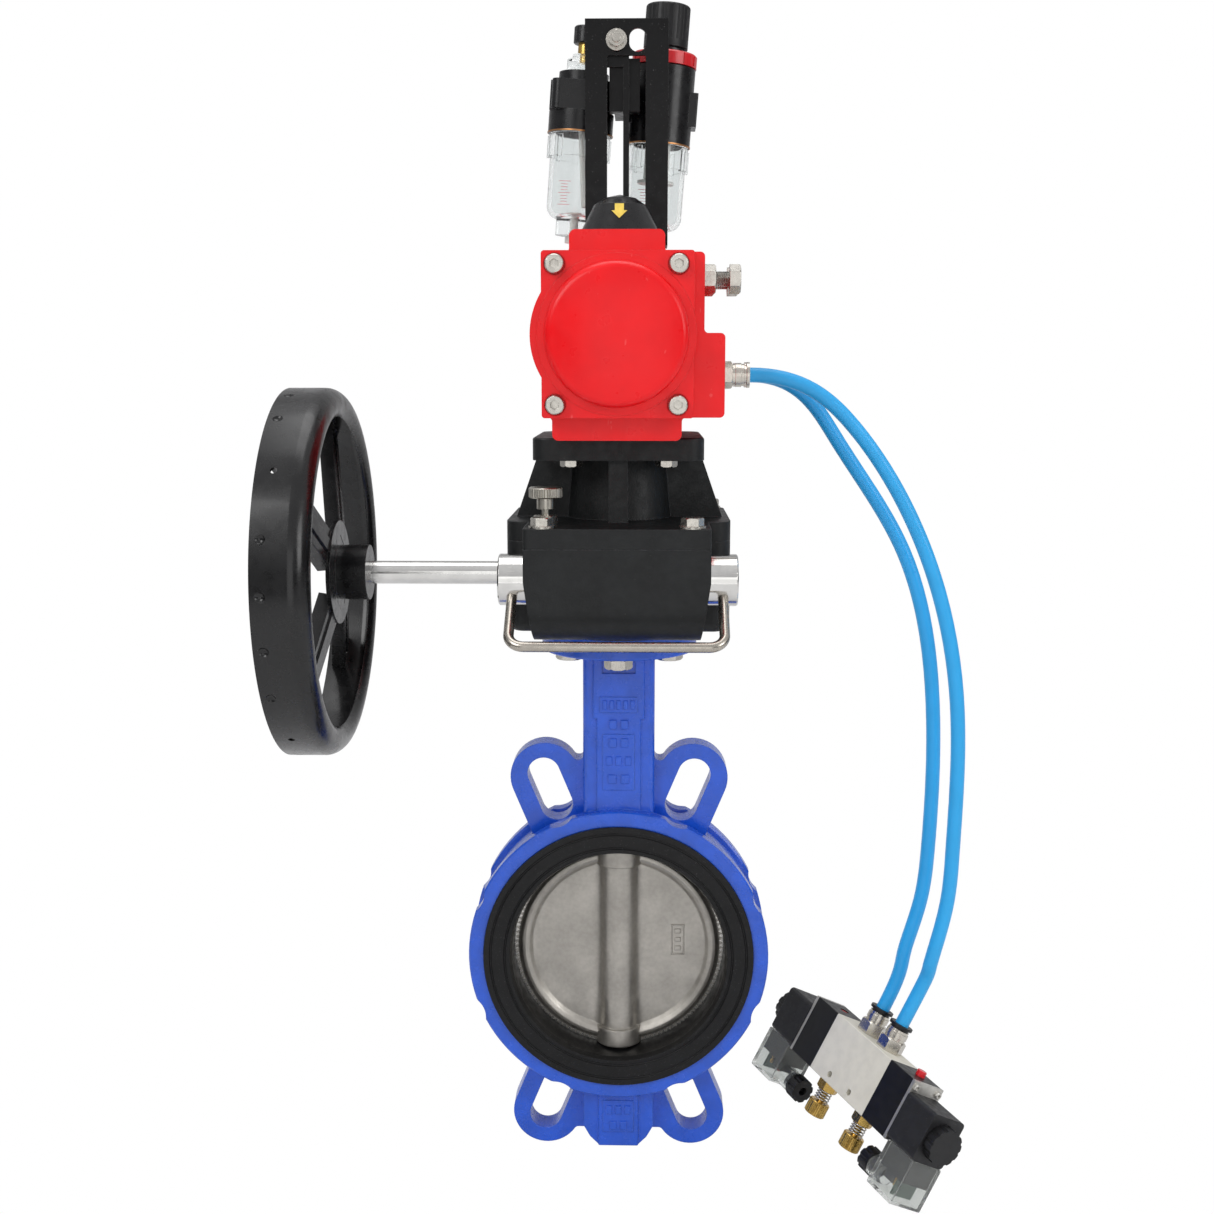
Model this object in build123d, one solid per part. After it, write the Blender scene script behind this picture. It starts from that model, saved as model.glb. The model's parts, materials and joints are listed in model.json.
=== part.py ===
from build123d import *
import math
import os

# A DN150 wafer butterfly valve with a declutchable worm gearbox, a double-acting
# rack-and-pinion pneumatic actuator, an air filter-regulator with lubricator and a
# double-solenoid air valve on two tubes.  All lengths are millimetres.
# Origin: centre of the valve bore.  Y is the pipe axis (front is -Y), Z the stem axis,
# the handwheel is on the -X side and the air ports are on the +X side.

# ---------------------------------------------------------------- driving dimensions
BORE_R = 75.5                 # liner bore of a DN150 valve
BODY_HALF = 28.0              # half the face-to-face width of the casting
LINER_HALF = 30.0             # the rubber faces stand 2 mm proud on each side
LINER_LIP_R = 95.5            # outer radius of the rubber sealing face
LINER_OUT_R = 84.0
BODY_R = 106.0                # outer radius of the body ring
DISC_R = 75.3                 # the disc edge is part of this sphere
STEM_R = 10.0
STEM_SQUARE = 14.0
NECK_BORE_R = 13.0
BOLT_CIRCLE_R = 120.0         # PN16 flange bolts, eight M20
SLOT_R = 11.5                 # half the width of a lug slot
SLOT_IN, SLOT_OUT = 115.0, 139.0
LUG_R, LUG_MID = 24.5, 136.5  # the lug's end radius and how far out its centre lies
LUG_ANGLE = 22.5
TOP_FLANGE_R = 54.0
TOP_FLANGE_LOW, TOP_FLANGE_TOP = 218.0, 232.0
TOP_BOLT_R = 35.0             # ISO 5211 F07 bolt circle, turned so that one bolt is in front
TOP_BOLT_SPOTS = ((TOP_BOLT_R, 0), (-TOP_BOLT_R, 0), (0, TOP_BOLT_R), (0, -TOP_BOLT_R))

SLEEVE_Y, SLEEVE_Z = -62.5, 274.4   # axis about which the eccentric sleeves swing
ECCENTRIC = 4.5               # offset of the worm axis inside the sleeves
SLEEVE_R = 16.95
SHAFT_R = 7.5
SEAM_Z, LID_Z = 297.5, 310.6
PLATE_LOW, PLATE_TOP = 351.7, 366.6
WHEEL_TEETH = 40
WORM_PITCH = 7.54
WHEEL_PITCH_R = 48.0
WORM_PITCH_R = 10.0
WORM_TILT = 6.84              # lead angle of the single-start worm, degrees
FLANK = math.tan(math.radians(25))
WORM_PLAY = 0.55              # thinning of thread and teeth per flank

CYL_Z = 431.5                 # axis of the air cylinder
CYL_R = 46.0
CYL_HALF = 95.0               # half length of the extruded actuator body
CAP_OUT = 109.0
CAP_BOLT_X, CAP_BOLT_Z = 37.7, 42.3
SCREW_HEAD_R = 5.8
CAP_LAND_R = 49.0
MODULE, PINION_TEETH = 2.0, 20
PINION_R = MODULE * PINION_TEETH / 2
PISTON_IN, PISTON_OUT = 56.6, 70.6
PAD_TOP = 495.6
ACTUATOR_BOLT = 31.8
STOP_Y, STOP_Z = 16.0, 470.0
PORT_Y, PORT_Z = 12.0, 407.0
TUBE_R, TUBE_BORE_R = 5.0, 3.4
BLOCK_FACE = 67.0             # outer face of the actuator's air block
BAIL_R, BAIL_REACH, BAIL_DROP = 3.35, 60.0, 37.0
WHEEL_TURN = 52.5             # angle of one spoke from the vertical
GEAR_PLAY = 0.08
NAMUR_HOLES = ((15, 40), (-15, 40), (15, -40), (-15, -40))
UNIT_Y, UNIT_Z, UNIT_LEAN = 70.0, 597.0, 4.2   # port axis of the air preparation pair
VALVE_X, VALVE_Y, VALVE_Z = 176.9, -15.0, -87.8
VALVE_PORT = 12.0             # half the spacing of the two fittings on the air valve
VALVE_HOLE = 12.6             # half the spacing of its mounting holes

LOW = (Align.CENTER, Align.CENTER, Align.MIN)
CORNER = (Align.MIN, Align.MIN, Align.MIN)


# ---------------------------------------------------------------- shape helpers
def post(radius, low, high, x=0, y=0):
    """Round bar standing along Z."""
    return Pos(x, y, low) * Cylinder(radius, high - low, align=LOW)


def bar_x(radius, left, right, y=0, z=0):
    """Round bar lying along X."""
    return Pos(left, y, z) * Rot(0, 90, 0) * Cylinder(radius, right - left, align=LOW)


def bar_y(radius, front, back, x=0, z=0):
    """Round bar lying along Y."""
    return Pos(x, front, z) * Rot(-90, 0, 0) * Cylinder(radius, back - front, align=LOW)


def block(x0, x1, y0, y1, z0, z1):
    return Pos(x0, y0, z0) * Box(x1 - x0, y1 - y0, z1 - z0, align=CORNER)


def column(x0, x1, y0, y1, z0, z1, radius):
    """Block with rounded vertical edges."""
    flat = RectangleRounded(x1 - x0, y1 - y0, radius)
    return Pos((x0 + x1) / 2, (y0 + y1) / 2, z0) * extrude(flat, z1 - z0)


def aim(shape, start, direction, side=None):
    """Carry a shape built along Z to a start point and a direction."""
    return Plane(origin=start, x_dir=side, z_dir=direction).location * shape


def ring(outer, inner, low, high):
    return post(outer, low, high) - post(inner, low - 1, high + 1)


def hex_head(width, height):
    """Hexagon with a chamfered upper edge."""
    prism = extrude(RegularPolygon(width / 2, 6, major_radius=False), height)
    limit = Cylinder(width * 0.575, height, align=LOW)
    limit = chamfer(limit.edges().group_by(Axis.Z)[-1], width * 0.06)
    return prism & limit


def hex_bolt(width, height, radius, length):
    """Hexagon bolt: head above Z 0, shank below it."""
    return hex_head(width, height) + post(radius, -length, 0)


def socket_screw(head_r, height, radius, length):
    """Cap screw: head above Z 0 with a hexagon socket."""
    head = chamfer(Cylinder(head_r, height, align=LOW).edges().group_by(Axis.Z)[-1], 0.6)
    socket = extrude(RegularPolygon(head_r * 0.5, 6), height)
    return head - Pos(0, 0, height * 0.45) * socket + post(radius, -length, 0)


def coil_spring(radius, wire, length, turns):
    """Helical spring standing on Z 0 with its wire inside the given length."""
    path = Helix(pitch=(length - 2 * wire) / turns, height=length - 2 * wire, radius=radius)
    start = Plane(origin=path @ 0, z_dir=path % 0)
    return Pos(0, 0, wire) * sweep(start * Circle(wire), path=path, is_frenet=True)


def spin(points):
    """Turn a closed (radius, height) outline about Z."""
    face = make_face(Plane.XZ * Polyline(*points, close=True))
    return revolve(face, Axis.Z)


def spin_y(points):
    """Turn a closed (radius, y) outline about the pipe axis."""
    face = make_face(Polyline(*points, close=True))
    return revolve(face, Axis.Y)


def together(*solids):
    return Compound(children=list(solids))


def four(x, y):
    return [(x, y), (-x, y), (-x, -y), (x, -y)]


# ---------------------------------------------------------------- valve
def lug_plate(side):
    """Two slotted lugs with their web, above (+1) or below (-1) the ring."""
    thick = 9.0
    web_top = 138.5
    tie = Circle(BODY_R - 4) + Pos(0, side * web_top / 2) * Rectangle(64, web_top)
    slots = []
    for angle in (-LUG_ANGLE, LUG_ANGLE):
        middle = (SLOT_IN + SLOT_OUT) / 2
        tie += Rot(0, 0, angle) * Pos(0, side * (LUG_MID + 60) / 2) * SlotOverall(
            LUG_MID - 60 + 2 * LUG_R, 2 * LUG_R, rotation=90)
        slots.append(Rot(0, 0, angle) * Pos(0, side * middle) * SlotCenterToCenter(
            SLOT_OUT - SLOT_IN, 2 * SLOT_R, rotation=90))
    if side > 0:
        tie += Pos(0, 120) * Rectangle(50, 80)
    tie = fillet([v for v in tie.vertices() if abs(v.Y * side - web_top) < 0.1], 3.5)
    tie = fillet([v for v in tie.vertices() if 70 < v.Y * side < 95], 5)
    plate = extrude(tie, thick, both=True)
    for slot in slots:
        plate -= extrude(slot, 2 * thick, both=True)
    return Rot(90, 0, 0) * plate


def valve_body():
    """Cast ring, lugs, neck, top flange and bottom boss in one casting."""
    half = [(LINER_OUT_R, 0), (LINER_OUT_R, 25), (LINER_LIP_R, 25), (LINER_LIP_R, BODY_HALF),
            (BODY_R - 1, BODY_HALF), (BODY_R, BODY_HALF - 1), (BODY_R, 19), (BODY_R - 1.5, 18),
            (BODY_R - 5.5, 17), (BODY_R - 5.5, 11), (BODY_R - 3, 9), (BODY_R - 3, 0)]
    body = spin_y(half) + mirror(spin_y(half), Plane.XZ)
    for angle in range(8):
        turn = Rot(0, LUG_ANGLE + 45 * angle, 0)
        body -= turn * bar_y(SLOT_R + 5, -40, 40, 0, BOLT_CIRCLE_R)
    body += [lug_plate(1), lug_plate(-1)]

    neck = column(-25, 25, -18.5, 18.5, 90, TOP_FLANGE_LOW + 1, 4)
    flange = post(TOP_FLANGE_R, TOP_FLANGE_LOW, TOP_FLANGE_TOP)
    flange = fillet(flange.edges().group_by(Axis.Z)[0], 1.5)
    upper_panel = column(-18, 18, -20.5, -10, 171, TOP_FLANGE_LOW + 1, 1.5)
    upper_panel -= block(-11.5, 11.5, -30, -19, 203, TOP_FLANGE_LOW + 2)
    lower_panel = column(-15.5, 15.5, -20.5, -10, 96, 171.5, 1.5)
    label = Pos(0, -20.4, 181) * Box(26, 1.6, 11) + Pos(0, -20.4, 140) * Box(22, 1.6, 40)
    back_panel = column(-16, 16, 10, 20.5, 96, 206, 1.5)
    body += [neck, flange, upper_panel, lower_panel, label, back_panel]

    foot_outline = make_face(Polyline((-25, 0), (25, 0), (25, -36), (20.5, -44), (14.5, -50),
                                      (-14.5, -50), (-20.5, -44), (-25, -36), close=True))
    foot = Pos(0, 0, -97) * Rot(90, 0, 0) * extrude(foot_outline, 18.5, both=True)
    foot_panel = column(-14.5, 14.5, -20.5, 20.5, -147, -96, 1.5)
    foot_label = Pos(0, -20.4, -124) * Box(22, 1.6, 24)
    body += [foot, foot_panel, foot_label]

    body -= bar_y(LINER_OUT_R, -40, 40)
    body -= bar_y(LINER_LIP_R, -40, -25)
    body -= bar_y(LINER_LIP_R, 25, 40)
    body -= post(NECK_BORE_R, 60, 240)
    body -= post(NECK_BORE_R, -130, -60)
    for x, y in TOP_BOLT_SPOTS:
        body -= post(5.5, 210, 240, x, y)
    return body


def seat_liner():
    """Rubber liner: bore, two sealing faces and two stem holes."""
    half = [(BORE_R, 0), (BORE_R, 26), (BORE_R + 1.5, LINER_HALF), (LINER_LIP_R, LINER_HALF),
            (LINER_LIP_R, 25), (LINER_OUT_R, 25), (LINER_OUT_R, 0)]
    liner = spin_y(half) + mirror(spin_y(half), Plane.XZ)
    for radius in (80.5, 90.5):
        groove = revolve(Pos(radius, -LINER_HALF) * Circle(0.9), Axis.Y)
        liner -= [groove, mirror(groove, Plane.XZ)]
    liner -= post(STEM_R + 0.05, 60, 120)
    liner -= post(STEM_R + 0.05, -120, -60)
    return liner


def disc():
    """Closed disc with a rim bead and a vertical hub that takes both stems."""
    ball = Sphere(DISC_R)
    web = bar_y(72, -3.5, 3.5)
    half_rim = [(62, 0), (62, 3.5), (64.5, 6), (67, 7.5), (69.5, 7), (71, 4.5), (72.5, 3.6),
                (76, 3.6), (76, 0)]
    rim = spin_y(half_rim) + mirror(spin_y(half_rim), Plane.XZ)
    hub_flat = Circle(13.8) + Rectangle(80, 7)
    inner = [v for v in hub_flat.vertices() if abs(v.X) < 20]
    hub_flat = fillet(inner, 9)
    hub = Pos(0, 0, -80) * extrude(hub_flat, 160)
    hub &= bar_y(72, -20, 20)
    bosses = post(16.5, 61, 80) + post(16.5, -80, -61)
    body = (web + rim + hub + bosses) & ball
    square = Pos(0, 0, 22) * Box(STEM_SQUARE, STEM_SQUARE, 26, align=LOW)
    body -= square & post(STEM_R, 20, 50)
    body -= post(STEM_R, 47, 80)
    body -= post(STEM_R, -80, -20)
    return body


def valve_stems():
    """Upper stem with a square at the disc and another at the gearbox, and the lower stub."""
    stem = post(STEM_R, 48, 234)
    for low, high in ((23, 48), (234, 262)):
        square = Pos(0, 0, low) * Box(STEM_SQUARE, STEM_SQUARE, high - low, align=LOW)
        stem += square & post(STEM_R, low, high)
    stub = post(STEM_R, -128, -21)
    stub = chamfer(stub.edges().filter_by(GeomType.CIRCLE), 0.8)
    return together(stem, stub)


def shaft_bushes():
    """Plain bushes of the stem, worm wheel, drive shaft and pinion, bottom to top."""
    return together(
        ring(NECK_BORE_R, STEM_R + 0.03, -124, -94),
        ring(NECK_BORE_R, STEM_R + 0.03, 92, 120),
        ring(NECK_BORE_R, STEM_R + 0.03, 200, 228),
        ring(24, 20.95, 233, 248.5),
        ring(27, 24.05, 298.7, 303.9),
        ring(16.5, 13.95, 304.5, 322),
        ring(16.5, 13.95, 346, 363),
        ring(20, 16.95, 369, 385),
        ring(11, 8.45, 478, 495))


def shaft_seals():
    """O-rings round the stem and round the two eccentric sleeves."""
    small = revolve(Plane.XZ * Pos(11.55, 0) * Circle(1.42), Axis.Z)
    large = revolve(Plane.XZ * Pos(15.55, 0) * Circle(1.33), Axis.Z)
    solids = [Pos(0, 0, z) * small for z in (130, 140, 190)]
    solids += [aim(large, (x, SLEEVE_Y, SLEEVE_Z), (1, 0, 0)) for x in (-55.5, 55.5)]
    return together(*solids)


# ---------------------------------------------------------------- gearbox
def front_box(low, high, inset=0.0):
    """Worm chamber: rounded lower front edge and slightly drawn-in lower sides."""
    front = -92 + inset
    side = Plane.YZ * make_face(
        Polyline((front, high), (front, low + 22)) +
        ThreePointArc((front, low + 22), (front + 6.44, low + 6.44), (front + 22, low)) +
        Polyline((front + 22, low), (-40, low), (-40, high), (front, high)))
    box = extrude(side, 60 - inset, both=True)
    drawn = Plane.XZ * make_face(Polyline((-60, high + 1), (60, high + 1), (60, low + 40),
                                          (54, low), (-54, low), (-60, low + 40), close=True))
    return box & extrude(drawn, 100, both=True)


def main_case(low, high):
    return column(-75, 75, -45, 70, low, high, 12)


def cover_bolt_spots():
    return ((48, -84), (-48, -84), (64, 58), (-64, 58))


def gearbox_housing():
    """Case that holds the worm wheel and the eccentric sleeves."""
    case = main_case(236, SEAM_Z)
    lower = case.faces().sort_by(Axis.Z)[0].edges()
    case = fillet(lower, 6)
    case += front_box(236, SEAM_Z)
    case += post(TOP_FLANGE_R, TOP_FLANGE_TOP, 244)
    case -= post(52.5, 248, 300)
    case -= post(24, 230, 250)
    case -= bar_x(18, -36, 36, SLEEVE_Y, SLEEVE_Z)
    case -= bar_x(SLEEVE_R + 0.05, -80, -35, SLEEVE_Y, SLEEVE_Z)
    case -= bar_x(SLEEVE_R + 0.05, 35, 80, SLEEVE_Y, SLEEVE_Z)
    case -= block(-30, 30, SLEEVE_Y, -40, 262, SEAM_Z + 1)
    case -= post(2.7, 280, 300, -47, SLEEVE_Y)
    for x, y in TOP_BOLT_SPOTS:
        case -= post(5, 230, 244.5, x, y)
    for x, y in cover_bolt_spots():
        case -= post(4, SEAM_Z - 7, SEAM_Z + 1, x, y)
    return case


def gearbox_cover():
    """Lid, tower and actuator plate in one casting."""
    lid = main_case(SEAM_Z, LID_Z) + column(-60, 60, -92, -30, SEAM_Z, LID_Z, 3)
    plate = column(-56.5, 56.5, -56.5, 56.5, PLATE_LOW, PLATE_TOP, 12)
    plate = fillet(plate.faces().sort_by(Axis.Z)[-1].edges(), 1.5)
    web_side = make_face(Polyline((-71, LID_Z - 1), (71, LID_Z - 1), (56, PLATE_LOW + 1),
                                  (-56, PLATE_LOW + 1), close=True))
    web = extrude(Plane.XZ * web_side, 7, both=True)
    rib_side = make_face(Polyline((-50, LID_Z - 1), (50, LID_Z - 1), (47, PLATE_LOW + 1),
                                  (-47, PLATE_LOW + 1), close=True))
    rib = extrude(Plane.YZ * rib_side, 6.5, both=True)
    tower = Pos(0, 0, LID_Z - 1) * Cone(36, 32, PLATE_LOW - LID_Z + 2, align=LOW)
    cover = lid + plate + web + rib + tower
    cover -= post(27, SEAM_Z - 1, 304)
    cover -= post(16.5, 300, PLATE_TOP + 1)
    cover -= post(27, PLATE_TOP - 3, PLATE_TOP + 1)
    cover -= post(5, SEAM_Z - 1, LID_Z + 1, -47, SLEEVE_Y)
    for x, y in four(ACTUATOR_BOLT, ACTUATOR_BOLT):
        cover -= post(4.3, PLATE_LOW - 1, PLATE_TOP + 1, x, y)
    for x, y in cover_bolt_spots():
        cover -= post(4.3, SEAM_Z - 1, LID_Z + 1, x, y)
    return cover


def gearbox_bolts():
    """Hexagon bolts: four in the lid, four M10 below and four M8 above the gearbox."""
    lid_bolt = Pos(0, 0, 1.6) * hex_bolt(13, 5.3, 4, 20)
    washer = ring(8.6, 4.2, 0, 1.6)
    upper_bolt = Rot(180, 0, 0) * hex_bolt(13, 5.3, 4, 27)
    lower_bolt = Pos(0, 0, -2) * Rot(180, 0, 0) * hex_bolt(17, 6.4, 5, 26)
    lower_washer = ring(9.5, 5.05, -2, 0)
    solids = []
    for x, y in cover_bolt_spots():
        solids.append(Pos(x, y, LID_Z) * lid_bolt)
        solids.append(Pos(x, y, LID_Z) * washer)
    solids += [Pos(x, y, PLATE_LOW) * upper_bolt for x, y in four(ACTUATOR_BOLT, ACTUATOR_BOLT)]
    for x, y in TOP_BOLT_SPOTS:
        solids.append(Pos(x, y, TOP_FLANGE_LOW) * lower_bolt)
        solids.append(Pos(x, y, TOP_FLANGE_LOW) * lower_washer)
    return together(*solids)


def worm_wheel():
    """Forty-tooth wheel with straight tilted slots and a square bore for the stem."""
    wheel = post(WHEEL_PITCH_R + 1.9, SLEEVE_Z - 10, SLEEVE_Z + 10)
    wheel += post(28, 249, SLEEVE_Z - 9) + post(20.9, 235, 250) + post(24, SLEEVE_Z + 9, 303)
    root, tip = WHEEL_PITCH_R - 2.2, WHEEL_PITCH_R + 3
    middle = WORM_PITCH / 4 + WORM_PLAY
    wide_root = middle + (root - WHEEL_PITCH_R) * FLANK
    wide_tip = middle + (tip - WHEEL_PITCH_R) * FLANK
    gap = make_face(Polyline((-wide_root, -root), (wide_root, -root), (wide_tip, -tip),
                             (-wide_tip, -tip), close=True))
    slot = Pos(0, 0, SLEEVE_Z) * Rot(0, WORM_TILT, 0) * extrude(gap, 13, both=True)
    wheel -= [Rot(0, 0, 360 / WHEEL_TEETH * i) * slot for i in range(WHEEL_TEETH)]
    stem_square = Pos(0, 0, 230) * Box(STEM_SQUARE, STEM_SQUARE, 33, align=LOW)
    wheel -= stem_square & post(STEM_R, 230, 263)
    wheel -= Pos(0, 0, 266) * Box(17, 17, 40, align=LOW)
    wheel -= post(14, 296.5, 305)
    return wheel


def drive_shaft():
    """Carries the actuator's turn down to the worm wheel."""
    shaft = post(13.9, 297, 367)
    shaft += Pos(0, 0, 267) * Box(17, 17, 31, align=LOW)
    shaft += Pos(0, 0, 366) * Box(17, 17, 28, align=LOW)
    return shaft


def worm_shaft():
    """Worm and its long shaft in one piece; the first ridge stands on +Z at X 0."""
    turns = 8
    length = turns * WORM_PITCH
    path = Helix(pitch=WORM_PITCH, height=length, radius=WORM_PITCH_R - 2.1)
    root, tip = -0.3, 3.9
    middle = WORM_PITCH / 4 - WORM_PLAY
    wide_root = middle + (2.1 - root) * FLANK
    wide_tip = middle + (2.1 - tip) * FLANK
    tooth = make_face(Polyline((root, -wide_root), (tip, -wide_tip), (tip, wide_tip),
                               (root, wide_root), close=True))
    start = Plane(origin=path @ 0, x_dir=(1, 0, 0), z_dir=path % 0)
    thread = Pos(0, 0, -length / 2) * sweep(start * tooth, path=path, is_frenet=True)
    core = post(WORM_PITCH_R - 2, -35, 35)
    shaft = core + thread
    shaft += post(SHAFT_R, -185, -34) + post(SHAFT_R, 34, 64)
    shaft = aim(shaft, (0, SLEEVE_Y, SLEEVE_Z + ECCENTRIC), (1, 0, 0), (0, 0, 1))
    return shaft - Pos(-170, SLEEVE_Y, SLEEVE_Z + ECCENTRIC) * Cylinder(2, 40)


def sleeve(inner, outer):
    """Eccentric sleeve with its shaft bore, seal groove and bail hole."""
    left, right = min(inner, outer), max(inner, outer)
    body = bar_x(SLEEVE_R, left, right, SLEEVE_Y, SLEEVE_Z)
    body = chamfer(body.edges().filter_by(GeomType.CIRCLE), 0.8)
    mark = 55.5 if inner > 0 else -55.5
    groove = bar_x(20, mark - 1.6, mark + 1.6, SLEEVE_Y, SLEEVE_Z)
    groove -= bar_x(14.2, mark - 3, mark + 3, SLEEVE_Y, SLEEVE_Z)
    side = 68.5 if inner > 0 else -68.5
    return body - groove - bail_arm(side, 8, 30)


def bail_arm(x, near, far):
    down = math.radians(BAIL_DROP)
    aimed = aim(Cylinder(BAIL_R, far - near, align=LOW), (0, 0, 0),
                (0, -math.cos(down), -math.sin(down)))
    return Pos(x, SLEEVE_Y - near * math.cos(down), SLEEVE_Z - near * math.sin(down)) * aimed


def eccentric_sleeves():
    """Both sleeves; the one on the shaft side has the lock groove, the other is closed."""
    left = sleeve(-36, -77.8) - bar_x(SHAFT_R + 0.04, -80, -35, SLEEVE_Y, SLEEVE_Z + ECCENTRIC)
    track = bar_x(20, -49.8, -44.2, SLEEVE_Y, SLEEVE_Z)
    track -= bar_x(13.6, -50, -44, SLEEVE_Y, SLEEVE_Z)
    quarter = block(-50, -44, SLEEVE_Y - 30, SLEEVE_Y + 2.8, SLEEVE_Z - 2.8, SLEEVE_Z + 30)
    right = sleeve(36, 78.3) - bar_x(SHAFT_R + 0.04, 35, 66, SLEEVE_Y, SLEEVE_Z + ECCENTRIC)
    return together(left - (track & quarter), right)


def clutch_bail():
    """Bent rod handle joining the two sleeves."""
    down = math.radians(BAIL_DROP)
    path = FilletPolyline((-68.5, 8.05), (-68.5, BAIL_REACH), (68.5, BAIL_REACH), (68.5, 8.05),
                          radius=10)
    rod = sweep(Plane(origin=path @ 0, z_dir=path % 0) * Circle(BAIL_R), path=path)
    lay = Plane(origin=(0, SLEEVE_Y, SLEEVE_Z), x_dir=(1, 0, 0),
                z_dir=(0, math.sin(down), -math.cos(down)))
    return lay.location * rod


def plunger_body():
    """Hexagon bush in the lid that guides the lock pin."""
    body = post(4.98, 300, LID_Z) + Pos(0, 0, LID_Z) * hex_head(14, 6.4)
    body -= post(2.55, 299, 318)
    body -= post(4.0, 299, 314)
    return Pos(-47, SLEEVE_Y, 0) * body


def plunger_pin():
    """Lock pin with a shoulder, collar and knurled knob."""
    pin = post(2.5, 288.2, 330) + post(3.7, 300.5, 302) + post(5.8, 321, 328.2)
    knob = chamfer(post(11, 328.1, 335.1).edges().filter_by(GeomType.CIRCLE), 0.8)
    grooves = [Rot(0, 0, 10 * i) * Pos(11.2, 0, 331.6) * Rot(0, 0, 45) * Box(0.9, 0.9, 8)
               for i in range(36)]
    return Pos(-47, SLEEVE_Y, 0) * (pin + (knob - grooves))


def plunger_spring():
    return Pos(-47, SLEEVE_Y, 302.1) * coil_spring(3.2, 0.4, 11.8, 6)


def handwheel():
    """Pressed rim, four-arm spider and hub, welded into one piece."""
    rise = Polyline((119, -212), (119, -189.5))
    curl = ThreePointArc((119, -189.5), (116, -182.2), (109, -179.2))
    lip = ThreePointArc((109, -179.2), (105.2, -180.2), (102.5, -183.1))
    flat = trace(rise + curl + lip, 2.2)
    rim = Rot(0, 90, 0) * revolve(Plane.XZ * flat, Axis.Z)
    plate = bar_x(34, -185.4, -182.6) + bar_x(18, -184, -163)
    wheel = rim + plate
    reach, drop = 94, 16
    fall = math.hypot(reach, drop)
    slope = math.degrees(math.atan2(drop, reach))
    web = Pos(0, 0, fall / 2) * Box(2.2, 24, fall + 6)
    flanges = [Pos(-4, s * 11, fall / 2) * Box(9, 2.2, fall) for s in (-1, 1)]
    ridge = Pos(1.2, 0, fall / 2) * Box(2, 9, fall - 20)
    arm = web + flanges + ridge
    for turn in range(4):
        lean = Rot(WHEEL_TURN + 90 * turn, 0, 0)
        wheel += lean * Pos(-184, 0, 23.5) * Rot(0, -slope, 0) * arm
        wheel -= lean * post(2.1, 100, 130, -201, 0)
        for step in (-24, -8, 8, 24):
            dent = Pos(-205.5, 0, 122.5) * Sphere(4)
            wheel -= Rot(WHEEL_TURN + 45 + 90 * turn + step, 0, 0) * dent
    keep = bar_x(120.1, -212.1, -160)
    wheel = wheel & keep
    wheel -= bar_x(SHAFT_R, -190, -160)
    wheel -= Pos(-170, 0, 0) * Cylinder(2, 60)
    pin = Pos(-170, 0, 0) * Cylinder(2, 34)
    return Pos(0, SLEEVE_Y, SLEEVE_Z + ECCENTRIC) * together(wheel, pin)


# ---------------------------------------------------------------- actuator
def actuator_outline():
    """End view of the actuator: bulged body, stop strip, air block, foot and pad."""
    flat = Pos(0.7, CYL_Z) * Rectangle(93.4, 101)
    flat += Pos(-3.6, CYL_Z) * Circle(50)
    flat += Pos(44, 451) * RectangleRounded(20, 62, 3)
    flat += Pos(48.5, 407) * RectangleRounded(37, 52, 3)
    flat += Pos(0, 380) * RectangleRounded(81, 26.8, 4)
    flat += Pos(0, 481) * RectangleRounded(59, 29.2, 4)
    spots = ((-40.5, 381), (40.5, 381), (-29.5, 482), (29.5, 482), (54, 433))
    inner = [v for v in flat.vertices()
             if any(abs(v.X - x) < 0.3 and abs(v.Y - z) < 0.3 for x, z in spots)]
    flat = fillet(inner, 2.5)
    outer = [v for v in flat.vertices() if abs(v.X + 46) < 0.1]
    return fillet(outer, 2)


def actuator_body():
    """Extruded cylinder with pinion bores, stop-bolt holes and air ports."""
    body = Rot(90, 0, 0) * extrude(actuator_outline(), CYL_HALF, both=True)
    body -= bar_y(CYL_R, -100, 100, 0, CYL_Z)
    body -= post(20, 360, 400)
    body -= post(11, 460, 500)
    body -= post(23, 460, 477.5)
    for x, y in four(ACTUATOR_BOLT, ACTUATOR_BOLT):
        body -= post(4, 360, 380, x, y)
    for y in (-STOP_Y, STOP_Y):
        body -= bar_x(5.05, 0, 60, y, STOP_Z)
    for y in (-PORT_Y, PORT_Y):
        body -= bar_x(6, 56, 70, y, PORT_Z)
    body -= bar_x(3, 30, 60, -PORT_Y, PORT_Z)
    body -= bar_x(2.5, 48, 60, PORT_Y, PORT_Z)
    body -= bar_y(2.5, PORT_Y, 100, 49, PORT_Z)
    for x, z in four(CAP_BOLT_X, CAP_BOLT_Z):
        for y in (-1, 1):
            body -= bar_y(4, min(y * 80, y * 96), max(y * 80, y * 96), x, CYL_Z + z)
    for x, y in NAMUR_HOLES:
        body -= post(2.5, 486, 500, x, y)
    return body


def cap_outline():
    """End view of a cap: a square flange bulged by a circle, mostly to the left."""
    flat = Pos(0.7, CYL_Z) * Rectangle(93.4, 101) + Pos(-2.8, CYL_Z) * Circle(50.3)
    outer = [v for v in flat.vertices() if abs(abs(v.Y - CYL_Z) - 50.5) < 0.1]
    return fillet(outer, 2)


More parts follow.
